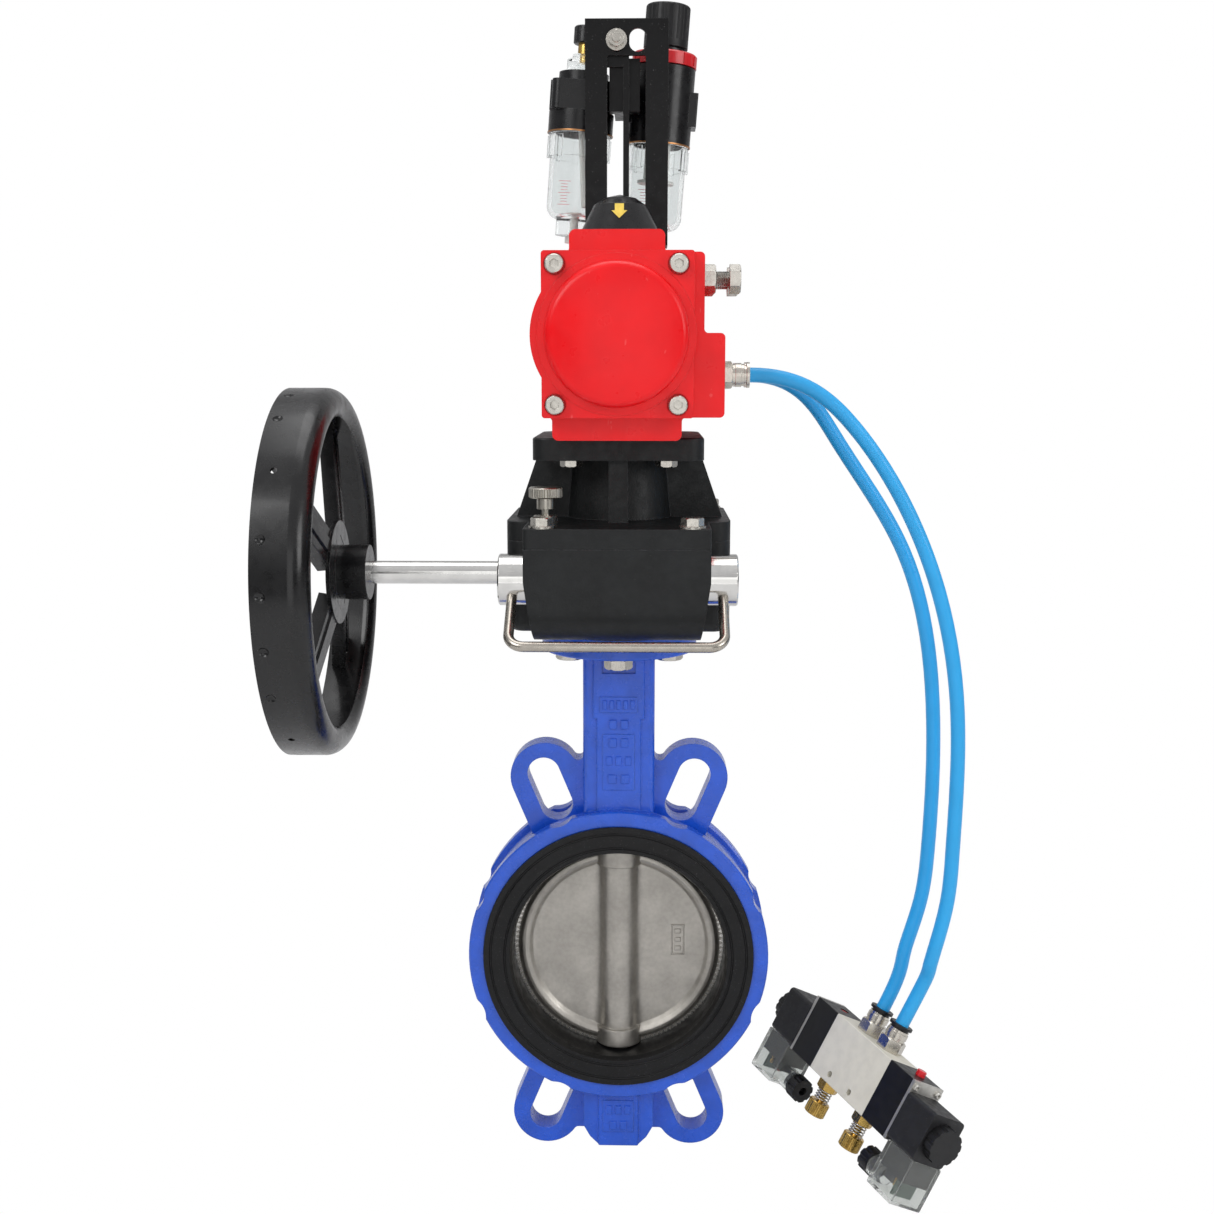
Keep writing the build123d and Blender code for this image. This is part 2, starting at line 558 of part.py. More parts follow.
def end_cap(side):
    """Flanged cap with a faint round land, a shallow dome and room for the piston."""
    face = CYL_HALF - CAP_OUT
    cap = Rot(90, 0, 0) * extrude(cap_outline(), CAP_OUT - CYL_HALF)
    cap += bar_y(CAP_LAND_R, face - 0.5, face + 4, 0, CYL_Z)
    arc = ThreePointArc((0, -14), (21, -13.4), (39.5, -11.2))
    edge = ThreePointArc((39.5, -11.2), (42.9, -9.2), (44, -6))
    side_line = Polyline((44, -6), (44, 3), (0, 3), (0, -14))
    dome = revolve(make_face(arc + edge + side_line), Axis.Y)
    cap += Pos(0, face, CYL_Z) * dome
    cap -= bar_y(CYL_R, CYL_HALF - 104.5, 1, 0, CYL_Z)
    cap -= bar_y(40, CYL_HALF - 117, 1, 0, CYL_Z)
    for x, z in four(CAP_BOLT_X, CAP_BOLT_Z):
        cap -= bar_y(4.2, -20, 2, x, CYL_Z + z)
        cap -= bar_y(SCREW_HEAD_R + 0.8, face - 1, face + 1.5, x, CYL_Z + z)
    cap = Pos(0, -CYL_HALF, 0) * cap
    return cap if side < 0 else mirror(cap, Plane.XZ)


def front_cap():
    return end_cap(-1)


def rear_cap():
    return end_cap(1)


def cap_screws():
    screw = socket_screw(SCREW_HEAD_R, 7, 4, 22)
    solids = []
    for x, z in four(CAP_BOLT_X, CAP_BOLT_Z):
        for side in (-1, 1):
            start = (x, side * (CAP_OUT - 1.5), CYL_Z + z)
            solids.append(aim(screw, start, (0, side, 0)))
    return together(*solids)


def rack_piston():
    """Front piston with its seal: head toward -Y, rack arm on the -X side of the pinion."""
    head = bar_y(CYL_R - 0.1, -PISTON_OUT, -PISTON_IN, 0, CYL_Z)
    head = chamfer(head.edges().filter_by(GeomType.CIRCLE), 0.8)
    head -= bar_y(60, -66, -61.4, 0, CYL_Z) - bar_y(42.3, -67, -60, 0, CYL_Z)
    head -= bar_y(30, -80, -65, 0, CYL_Z)
    arm = block(-36, -PINION_R + 1.9, -62, 45, CYL_Z - 12, CYL_Z + 12)
    half = math.pi * MODULE / 4 + GEAR_PLAY
    slope = math.tan(math.radians(20))
    tip, root = 2.1, -2.6
    wide_tip, wide_root = half + tip * slope, half + root * slope
    gap = make_face(Polyline((-PINION_R + tip, wide_tip), (-PINION_R + root, wide_root),
                             (-PINION_R + root, -wide_root), (-PINION_R + tip, -wide_tip),
                             close=True))
    gap = Pos(0, 0, CYL_Z) * extrude(gap, 20, both=True)
    arm -= [Pos(0, math.pi * MODULE * k, 0) * gap for k in range(-2, 8)]
    back = block(-46, -35.9, -50, 40, CYL_Z - 9, CYL_Z + 9)
    pad = bar_y(CYL_R - 0.15, -50, 40, 0, CYL_Z) & back
    seal = Pos(0, 0, CYL_Z) * revolve(Pos(44.1, -63.7) * Circle(1.75), Axis.Y)
    return together(head + arm + pad, seal)


def front_piston():
    return rack_piston()


def rear_piston():
    return Rot(0, 0, 180) * rack_piston()


def involute(angle):
    return math.tan(angle) - angle


def pinion():
    """Twenty-tooth pinion with journals, stop-cam hexagon and a square socket."""
    base = PINION_R * math.cos(math.radians(20))
    half_pitch = math.pi / (2 * PINION_TEETH) - GEAR_PLAY / PINION_R
    flank = []
    for radius in (base, PINION_R - 0.4, PINION_R + 0.8, PINION_R + 1.9):
        turn = half_pitch + involute(math.radians(20)) - involute(math.acos(base / radius))
        flank.append((radius, turn))
    root = (PINION_R - 2.6, flank[0][1])
    points = []
    for tooth in range(PINION_TEETH):
        middle = 2 * math.pi * tooth / PINION_TEETH
        low = [(r, middle - a) for r, a in [root] + flank]
        high = [(r, middle + a) for r, a in reversed([root] + flank)]
        points += [(r * math.cos(a), r * math.sin(a)) for r, a in low + high]
    gear = Pos(0, 0, 415) * extrude(make_face(Polyline(*points, close=True)), 33)
    shaft = post(16.9, 368.5, 416) + gear + post(15, 447, 463)
    shaft += Pos(0, 0, 463) * extrude(RegularPolygon(8.5, 6, major_radius=False), 13.5)
    shaft += post(8.4, 476, 499)
    shaft -= Pos(0, 0, 366) * Box(17, 17, 29, align=LOW)
    return shaft


def stop_cam():
    """Cam with one flat for the closed stop and one for the open stop."""
    cam = post(22, 465, 475)
    cam &= block(-30, 12, -10.5, 30, 460, 480)
    return cam - Pos(0, 0, 460) * extrude(RegularPolygon(8.5, 6, major_radius=False), 20)


def stop_bolts():
    """Travel stop bolts with their lock nuts and washers."""
    nut = hex_head(17, 8) - post(5, -1, 10)
    washer = ring(10, 5, 0, 2)
    solids = []
    for y, tip in ((STOP_Y, 12.15), (-STOP_Y, 10.65)):
        solids.append(aim(hex_bolt(17, 7.4, 5, 73.2 - tip), (73.2, y, STOP_Z), (1, 0, 0)))
        solids.append(aim(nut, (56.1, y, STOP_Z), (1, 0, 0)))
        solids.append(aim(washer, (54.05, y, STOP_Z), (1, 0, 0)))
    return together(*solids)


def push_fitting(hex_width):
    """Push-in fitting along Z: threaded end below 0, tube end at 21."""
    body = post(6, -8, 0) + hex_head(hex_width, 9) + post(7.4, 9, 17)
    body += post(8, 11, 15)
    body -= post(TUBE_R, 5, 22)
    return body - post(3.4, -9, 22)


def release_ring():
    return ring(8.6, TUBE_R, 18.6, 20.6) + ring(6.6, TUBE_R, 17, 19)


def push_fittings():
    """Four push-in fittings: two on the actuator and two on the air valve."""
    upper = push_fitting(16)
    solids = [aim(upper, (BLOCK_FACE, y, PORT_Z), (1, 0, 0)) for y in (-PORT_Y, PORT_Y)]
    for u in (-VALVE_PORT, VALVE_PORT):
        solids.append(valve_place() * Pos(u, 1, 22.5) * push_fitting(17))
    return together(*solids)


def release_rings():
    collar = release_ring()
    solids = [aim(collar, (BLOCK_FACE, y, PORT_Z), (1, 0, 0)) for y in (-PORT_Y, PORT_Y)]
    for u in (-VALVE_PORT, VALVE_PORT):
        solids.append(valve_place() * Pos(u, 1, 22.5) * collar)
    return together(*solids)


def indicator_dome():
    """Black cone that turns with the pinion; the arrow sits on its front."""
    dome = spin([(0, 497), (27.5, 497), (27.5, 500), (17.3, 519.5), (11, 524), (0, 526.5)])
    return dome - post(8.4, 496, 499)


def indicator_arrow():
    """Yellow arrow lying on the front of the dome's cone."""
    shape = make_face(Polyline((-3, 519), (3, 519), (3, 514.3), (5.2, 514.3), (0, 509),
                               (-5.2, 514.3), (-3, 514.3), close=True))
    prism = Rot(90, 0, 0) * Pos(0, 0, 5) * extrude(shape, 25)
    shell = spin([(18, 519.5), (28.2, 500), (27.5, 500), (17.3, 519.5)])
    return prism & shell


# ---------------------------------------------------------------- air preparation
def unit_place():
    """Frame of the filter-regulator and lubricator pair, leaning slightly to the right."""
    return Pos(0, UNIT_Y, UNIT_Z) * Rot(0, UNIT_LEAN, 0)


def frl_bracket():
    """Folded frame with a window, standing on the top pad of the actuator."""
    frame = block(-24.5, 32.5, 30, 33, PAD_TOP, 646)
    frame += block(-24.5, 32.5, 30, 58, PAD_TOP, PAD_TOP + 3)
    window = Rot(90, 0, 0) * extrude(RectangleRounded(26.4, 112, 1), 4, both=True)
    frame -= Pos(3.8, 31.5, 566) * window
    for x in (-3, 11.5):
        slot = Rot(90, 0, 0) * extrude(SlotOverall(15.5, 11.5, rotation=90), 4, both=True)
        frame -= Pos(x, 31.5, 632) * slot
    for x in (15, -15):
        frame -= post(2.7, 490, 502, x, 40)
    return frame


def hanger():
    """Edge-on arm with a bolted tab and joiner block, and the nipples through the block."""
    tab = block(-12, 5.6, 33, 36, 615, 643) - bar_y(3.1, 30, 40, -3, 632)
    arm = block(1.6, 5.6, 33, 46.5, 514, 621)
    front = block(-8, 13, 36, 46.9, 586, 621)
    joiner = block(-4.8, 4.5, 46, 82, UNIT_Z - 10, UNIT_Z + 12)
    arm = arm + tab + front + joiner
    passage = unit_place() * bar_x(5, -30, 30, 0, 0)
    return together(arm - passage, unit_place() * port_nipples())


def bracket_screws():
    """Foot screws, and the bolt that carries the hanger with its washer and nut."""
    foot = Pos(0, 0, PAD_TOP + 3) * socket_screw(4.25, 4.5, 2.45, 12)
    solids = [Pos(x, 40, 0) * foot for x in (15, -15)]
    solids.append(aim(hex_bolt(10, 4, 3, 16), (-3, 36, 632), (0, 1, 0)))
    washer = ring(7.2, 3.05, 0, 1.6)
    nut = hex_head(10, 5.2) - post(3, -1, 8)
    solids.append(aim(washer, (-3, 30, 632), (0, -1, 0)))
    solids.append(aim(nut, (-3, 28.4, 632), (0, -1, 0)))
    return together(*solids)


def regulator_body():
    """Filter-regulator body with side port boss and spring chamber."""
    body = post(22.4, -28, 26)
    body = chamfer(body.edges().filter_by(GeomType.CIRCLE), 0.8)
    body += column(14, 25.6, -11, 11, -14, 9, 1.5) + column(-22, -10, -11, 11, -14, 9, 1.5)
    body += post(15, 26, 38) + post(12.5, 37, 46)
    body -= post(11.7, 4, 30) + post(4, 28, 47)
    body -= post(19, -30, -14)
    body += post(7, -22, -12)
    body -= bar_x(6.6, 12, 26, 0, 0) + bar_x(3.2, -30, 14, 0, -4)
    body -= bar_x(6.6, -26, -12, 0, 0)
    return Pos(28, 0, 0) * body


def regulator_knob():
    """Ribbed setting knob with its adjusting screw."""
    cap = post(15.6, 39, 68)
    cap = fillet(cap.edges().group_by(Axis.Z)[-1], 2)
    cap -= [Rot(0, 0, 15 * i) * post(0.9, 44, 70, 16, 0) for i in range(24)]
    cap -= post(13.6, 38, 62)
    screw = post(3.9, 18, 63)
    return Pos(28, 0, 0) * (cap + screw)


def lock_ring():
    """Red ring that clamps the bonnet on the regulator body."""
    collar = ring(22.9, 15.05, 26.1, 35)
    collar = chamfer(collar.edges().group_by(Axis.Z)[-1].sort_by(Edge.length)[-1], 1.2)
    collar -= [Rot(0, 0, 30 * i) * block(22.2, 24, -2.5, 2.5, 27, 36) for i in range(12)]
    return Pos(28, 0, 0) * collar


def regulator_spring():
    """Setting spring between its diaphragm plate and its upper plate."""
    lower = post(11.5, 4.05, 5.15)
    upper = post(11, 21.75, 23.5) - post(3.95, 20, 25)
    return Pos(28, 0, 0) * together(lower, upper, Pos(0, 0, 5.2) * coil_spring(9, 1.1, 16.5, 4))


def clear_bowl(top, bottom):
    """Moulded bowl: ribbed collar, straight wall and rounded bottom."""
    wall = 3.0
    outer = post(21.6, top - 16, top) + post(20.4, bottom, top - 10)
    outer = fillet(outer.edges().group_by(Axis.Z)[0], 9)
    for i in range(8):
        outer += Rot(0, 0, 45 * i + 10) * block(20, 22.6, -2, 2, top - 17, top - 2)
    inner = post(20.4 - wall, bottom + wall, top + 1)
    inner = fillet(inner.edges().group_by(Axis.Z)[0], 6.5)
    return outer - inner


def filter_bowl():
    """Clear bowl of the filter, screwed up into the regulator body."""
    bowl = clear_bowl(-28.1, -86)
    bowl += ring(18.9, 17.4, -29, -20)
    return Pos(28, 0, 0) * (bowl - post(3, -90, -80))


def filter_element():
    """Filter cone, baffle and drain pin under the regulator body."""
    element = ring(9, 5, -52, -22.1) + post(13, -54, -52) + post(2, -60, -53)
    drain = post(2.95, -91, -82.2) + post(5, -82.9, -80)
    return Pos(28, 0, 0) * together(element, drain)


def lubricator_body():
    """Squarish head, threaded ring and collar of the lubricator."""
    body = column(-21, 21, -21, 21, -9, 11, 6) + column(-22.5, -14, -11, 11, -9, 11, 1.5)
    body += post(23, -24, -9) + post(17.6, 10, 18)
    body -= post(19, -26, -16)
    body += post(6, -18, -15)
    body -= post(9, 12, 19) + post(1.5, -20, 14)
    body -= bar_x(6.6, -26, -12, 0, 0) + bar_x(3.2, -14, 30, 0, 0)
    body -= bar_x(6.6, 12, 26, 0, 0)
    body -= post(3.2, -19, -12)
    return Pos(-28, 0, 0) * body


def sight_dome():
    """Clear drip dome on the lubricator head."""
    dome = post(12.5, 18.1, 27) + post(8.9, 13, 19) + post(9, 26, 30.5)
    dome -= post(6, 12, 24) + post(4, 20, 32)
    return Pos(-28, 0, 0) * dome


def drip_screw():
    """Brass adjusting screw with its ribbed cap, turned to set the drip rate."""
    screw = post(3.9, 25, 31) + post(5.5, 30.6, 38)
    cap = chamfer(post(9, 38.02, 50).edges().filter_by(GeomType.CIRCLE), 0.8)
    cap -= [Rot(0, 0, 24 * i) * post(0.7, 37, 51, 9.2, 0) for i in range(15)]
    return Pos(-28, 0, 0) * together(screw, cap)


def lubricator_bowl():
    """Clear oil bowl with its moulded drain."""
    bowl = clear_bowl(-24.1, -83)
    bowl += ring(18.9, 17.4, -25, -17) + post(13, -94, -82)
    return Pos(-28, 0, 0) * (bowl - post(3, -95, -78))


def siphon_tube():
    """Slanted oil pick-up tube and the drain plug of the lubricator."""
    foot, head = (6.5, -2, -74), (0, 0, -12.6)
    path = Line(foot, head)
    tube = sweep(Plane(origin=path @ 0, z_dir=path % 0) * (Circle(2.2) - Circle(1.2)), path=path)
    drain = post(2.95, -98, -79.9) + post(5, -79.95, -78.5) + post(6, -99, -94.1)
    return Pos(-28, 0, 0) * together(tube, drain)


def port_nipples():
    """Stepped nipple that joins the two units through the hanger block."""
    left = bar_x(6.55, -15.9, -6.5) - bar_x(3.2, -20, 0)
    right = bar_x(6.55, 6.5, 15.9) - bar_x(3.2, 0, 20)
    middle = bar_x(4.95, -6.6, 6.6) - bar_x(3.2, -10, 10)
    return left + right + middle


# ---------------------------------------------------------------- air valve
def valve_place():
    """Frame of the solenoid valve: X along the spool, Y to its back, Z to its ports."""
    return Pos(VALVE_X, VALVE_Y, VALVE_Z) * Rot(0, 11.9, 0) * Rot(0, 0, -64.1) * Rot(-17.5, 0, 0)


def air_valve_body():
    """Valve block with spool bore, five ports and two mounting holes."""
    body = block(-34.2, 34.2, -14, 14, -22.5, 22.5)
    body = chamfer(body.edges().filter_by(Axis.X), 0.5)
    body -= bar_x(6.5, -40, 40, 0, 2)
    for x in (-VALVE_HOLE, VALVE_HOLE):
        body -= bar_y(2.3, -20, 20, x, -16.2)
    for x in (-VALVE_PORT, VALVE_PORT):
        body -= post(6, 14, 23, x, 1) + post(3, 5, 20, x, 1)
    for x in (-23, 0, 23):
        body -= post(6, -23, -12, x, 0) + post(3, -20, 0, x, 0)
    return body


def end_block(side):
    """Black end block with the spool piston chamber and the override hole."""
    part = block(34.25, 60.4, -14, 14, -22.5, 22.5)
    part = chamfer(part.edges().filter_by(Axis.X), 0.5)
    part -= bar_x(7.5, 34, 48, 0, 2)
    part -= post(3.55, 11, 24, 48, 3)
    return part if side > 0 else mirror(part, Plane.YZ)


def end_blocks():
    return together(end_block(1), end_block(-1))


def end_plates():
    """Light metal plates with their screws and the armature tubes inside the coils."""
    plate = block(60.45, 63, -14, 14, -22.5, 22.5) - bar_x(4.95, 59, 65, 0, -3)
    tube = bar_x(4.95, 60.5, 100, 0, -3) - bar_x(3, 60, 92, 0, -3)
    screw = socket_screw(2.6, 2, 1.55, 2.4)
    solids = []
    for y in (-10.5, 10.5):
        plate -= bar_x(1.6, 59, 65, y, 18)
        solids.append(aim(screw, (63, y, 18), (1, 0, 0)))
    solids += [plate, tube]
    solids += [mirror(one, Plane.YZ) for one in solids]
    return together(*solids)


def spool():
    """Five-land spool that shifts along the block."""
    rod = bar_x(3.4, -42, 36, 0, 2)
    for middle in (-31, -17.5, -4, 9.5, 23):
        rod += bar_x(6.4, middle - 3, middle + 3, 0, 2)
    rod += bar_x(7.3, -42, -39, 0, 2) + bar_x(7.3, 35.5, 38.5, 0, 2)
    return rod


def coils():
    """Moulded solenoid coils with a hole for the armature tube."""
    coil = block(63.05, 93, -14.5, 14.5, -20.5, 14.5)
    coil = fillet(coil.edges().filter_by(Axis.X), 3)
    coil -= bar_x(5, 60, 95, 0, -3)
    coil += block(63.05, 65.9, -13, 13, -22, -20)
    return together(coil, mirror(coil, Plane.YZ))


def coil_and_gland_nuts():
    """Scalloped nuts that hold the coils, and the gland nuts of the two plugs."""
    nut = bar_x(13, 93.1, 101, 0, 0)
    nut -= [Rot(30 * i, 0, 0) * bar_x(1.8, 92, 102, 0, 14) for i in range(12)]
    nut -= bar_x(4.97, 92, 100.1, 0, 0)
    nut = Pos(0, 0, -3) * nut
    gland = gland_nut()
    return together(nut, mirror(nut, Plane.YZ), gland, mirror(gland, Plane.YZ))


def plug_housings():
    """Clear plug housings with their gland necks pointing inwards."""
    box = block(66, 94, -13.8, 13.8, -53, -20.6)
    box = fillet(box.edges().filter_by(Axis.Y), 1.5)
    box -= block(68, 92, -11.8, 11.8, -51, -20)
    neck = bar_x(8.2, 54, 67, 0, -45)
    box = box + neck - bar_x(6, 50, 69, 0, -45)
    return together(box, mirror(box, Plane.YZ))


def plug_inserts():
    """Black contact carriers inside the plug housings."""
    part = block(68.1, 91.9, -11.7, 11.7, -37, -20.7)
    part += block(70, 80, -6, 6, -44, -36)
    return together(part, mirror(part, Plane.YZ))


def gland_nut():
    nut = bar_x(9, 44, 53.9, 0, 0)
    nut -= [Rot(45 * i, 0, 0) * bar_x(1.5, 43, 52, 0, 9.6) for i in range(8)]
    nut += bar_x(5.9, 53, 60, 0, 0)
    nut -= bar_x(3.2, 40, 62, 0, 0)
    return Pos(0, 0, -45) * nut


def override_button(x, top):
    button = post(3.5, top - 7, top)
    return Pos(x, 3, 0) * chamfer(button.edges().group_by(Axis.Z)[-1], 0.5)


def right_override():
    return override_button(48, 26.5)


def left_override():
    return override_button(-48, 21.8)


def exhaust_bodies():
    """Brass bodies of the two exhaust throttles."""
    part = Rot(180, 0, 0) * (hex_head(14, 8.5) + post(5.95, -8, 0) - post(2.6, -9, 9))
    return together(*[Pos(x, 0, -22.5) * part for x in (-23, 23)])


def exhaust_springs():
    spring = coil_spring(5.2, 0.5, 9.4, 4)
    return together(*[Pos(x, 0, -40.5) * spring for x in (-23, 23)])


def throttle_knob():
    knob = chamfer(post(7.8, -51, -40.6).edges().filter_by(GeomType.CIRCLE), 0.6)
    cut = Pos(8, 0, -46) * Rot(0, 0, 45) * Box(0.7, 0.7, 12)
    knob -= [Rot(0, 0, 12 * i) * cut for i in range(30)]
    return knob + post(2.5, -41, -18)


def left_throttle():
    return Pos(-23, 0, 0) * throttle_knob()


def right_throttle():
    return Pos(23, 0, 0) * throttle_knob()


# ---------------------------------------------------------------- tubes
def tube_end(x):
    """Point and direction at which a tube leaves the air valve."""
    socket = valve_place() * Pos(x, 1, 22.5)
    low = socket * Pos(0, 0, 5.4)
    high = socket * Pos(0, 0, 21.5)
    return low.position, high.position


def air_tube(side, port, way):
    """Flexible tube from an actuator port through a few points to the air valve."""
    low, high = tube_end(port)
    start = (BLOCK_FACE + 5.5, side * PORT_Y, PORT_Z)
    first = (BLOCK_FACE + 21.5, side * PORT_Y, PORT_Z)
    into = (low - high).normalized()
    path = Spline(first, *way, high, tangents=((1, 0, 0), tuple(into)))
    section = Plane(origin=first, z_dir=(1, 0, 0))
    bend = sweep(section * Circle(TUBE_R - 0.01), path=path)
    bend -= sweep(section * Circle(TUBE_BORE_R), path=path)
    upper = ring(TUBE_R - 0.01, TUBE_BORE_R, 0, 16)
    lower = ring(TUBE_R - 0.01, TUBE_BORE_R, 0, (low - high).length)
    return bend + aim(upper, start, (1, 0, 0)) + aim(lower, tuple(high), tuple(into))


def air_tubes():
    outer = ((158, -14, 373), (208, -16, 290), (234, -18, 180), (234, -20, 75),
             (230.5, -21, 35), (221, -22, -5))
    inner = ((150, 11, 363), (197, 10, 288), (222, 9, 180), (222, 7, 70),
             (217, 5, 30), (207, 3, -5))
    return together(air_tube(-1, VALVE_PORT, outer), air_tube(1, -VALVE_PORT, inner))


# ---------------------------------------------------------------- files
def save(name, shape):
    export_step(shape, os.path.join("parts", name + ".step"))


def build():
    os.makedirs("parts", exist_ok=True)
    plain = (valve_body, seat_liner, disc, valve_stems, shaft_bushes, shaft_seals,
             gearbox_housing, gearbox_cover, gearbox_bolts, worm_wheel, drive_shaft,
             worm_shaft, eccentric_sleeves, clutch_bail, plunger_body, plunger_pin,
             plunger_spring, handwheel, actuator_body, front_cap, rear_cap, cap_screws,
             front_piston, rear_piston, pinion, stop_cam, stop_bolts, push_fittings,
             release_rings, indicator_dome, indicator_arrow, frl_bracket, hanger,
             bracket_screws, air_tubes)
    unit = (regulator_body, regulator_knob, lock_ring, regulator_spring, filter_bowl,
            filter_element, lubricator_body, sight_dome, drip_screw,
            lubricator_bowl, siphon_tube)
    valve = (air_valve_body, end_blocks, end_plates, spool, coils, coil_and_gland_nuts,
             plug_housings, plug_inserts, right_override, left_override,
             exhaust_bodies, exhaust_springs, left_throttle, right_throttle)
    for make in plain:
        save(make.__name__, make())
    for make in unit:
        save(make.__name__, unit_place() * make())
    for make in valve:
        save(make.__name__, valve_place() * make())


if __name__ == "__main__":
    build()
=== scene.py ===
"""Looks, small visible details, light and camera of the pneumatic actuated valve.

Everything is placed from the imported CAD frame.  Blender works in metres; sizes given to the
helpers below are millimetres in the local frame that the call names.
"""

import json
import math

import bmesh
import bpy
from mathutils import Matrix, Vector


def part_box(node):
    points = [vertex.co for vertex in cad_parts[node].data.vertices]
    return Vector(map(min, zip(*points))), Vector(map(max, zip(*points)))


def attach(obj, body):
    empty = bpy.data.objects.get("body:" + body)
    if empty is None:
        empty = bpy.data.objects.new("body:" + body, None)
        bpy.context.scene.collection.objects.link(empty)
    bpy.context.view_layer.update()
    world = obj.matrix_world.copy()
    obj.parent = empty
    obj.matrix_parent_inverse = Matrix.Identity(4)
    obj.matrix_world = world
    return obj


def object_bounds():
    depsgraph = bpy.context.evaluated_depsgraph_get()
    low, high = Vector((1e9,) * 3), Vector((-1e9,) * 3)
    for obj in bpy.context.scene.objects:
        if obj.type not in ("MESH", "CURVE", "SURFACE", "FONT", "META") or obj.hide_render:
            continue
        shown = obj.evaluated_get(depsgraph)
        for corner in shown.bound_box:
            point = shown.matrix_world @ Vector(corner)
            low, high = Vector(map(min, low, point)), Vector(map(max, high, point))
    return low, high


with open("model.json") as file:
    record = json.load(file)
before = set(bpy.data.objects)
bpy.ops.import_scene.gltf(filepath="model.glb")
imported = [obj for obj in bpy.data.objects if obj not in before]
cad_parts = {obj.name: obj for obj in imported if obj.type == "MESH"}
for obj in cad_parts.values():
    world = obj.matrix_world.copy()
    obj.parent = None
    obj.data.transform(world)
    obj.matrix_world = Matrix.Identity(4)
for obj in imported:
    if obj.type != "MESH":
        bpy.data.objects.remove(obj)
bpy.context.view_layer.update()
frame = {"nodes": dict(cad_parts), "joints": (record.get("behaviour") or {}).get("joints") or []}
nodes = frame["nodes"]

MM = 0.001
FULL_TURN = 2 * math.pi


# ------------------------------------------------------------------ frame helpers
def joint(name):
    """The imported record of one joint."""
    return next(j for j in frame["joints"] if j["name"] == name)


def placed(origin, x_axis, z_axis):
    """Matrix of a local frame from its origin and two of its axes."""
    x_axis = Vector(x_axis).normalized()
    z_axis = Vector(z_axis).normalized()
    y_axis = z_axis.cross(x_axis).normalized()
    turn = Matrix((x_axis, y_axis, z_axis)).transposed().to_4x4()
    return Matrix.Translation(origin) @ turn


def air_unit_frame():
    """X from lubricator to regulator, Z up the leaning unit, origin on the port axis."""
    knob = Vector(joint("pressure_set")["pos_m"])
    drip = Vector(joint("drip_set")["pos_m"])
    return placed((knob + drip) / 2, knob - drip, joint("pressure_set")["axis"])


def air_valve_frame():
    """X along the spool, Z up through the ports, origin at the middle of the block."""
    left = Vector(joint("left_throttle_turn")["pos_m"])
    right = Vector(joint("right_throttle_turn")["pos_m"])
    return placed((left + right) / 2, right - left, joint("left_throttle_turn")["axis"])


UNIT = air_unit_frame()
VALVE = air_valve_frame()
UNIT_HALF = (UNIT.inverted() @ Vector(joint("pressure_set")["pos_m"])).x


# ------------------------------------------------------------------ materials
def linear(red, green, blue):
    """Screen colour 0..255 to scene-linear."""
    out = []
    for value in (red, green, blue):
        part = value / 255
        out.append(part / 12.92 if part <= 0.04045 else ((part + 0.055) / 1.055) ** 2.4)
    return (*out, 1.0)


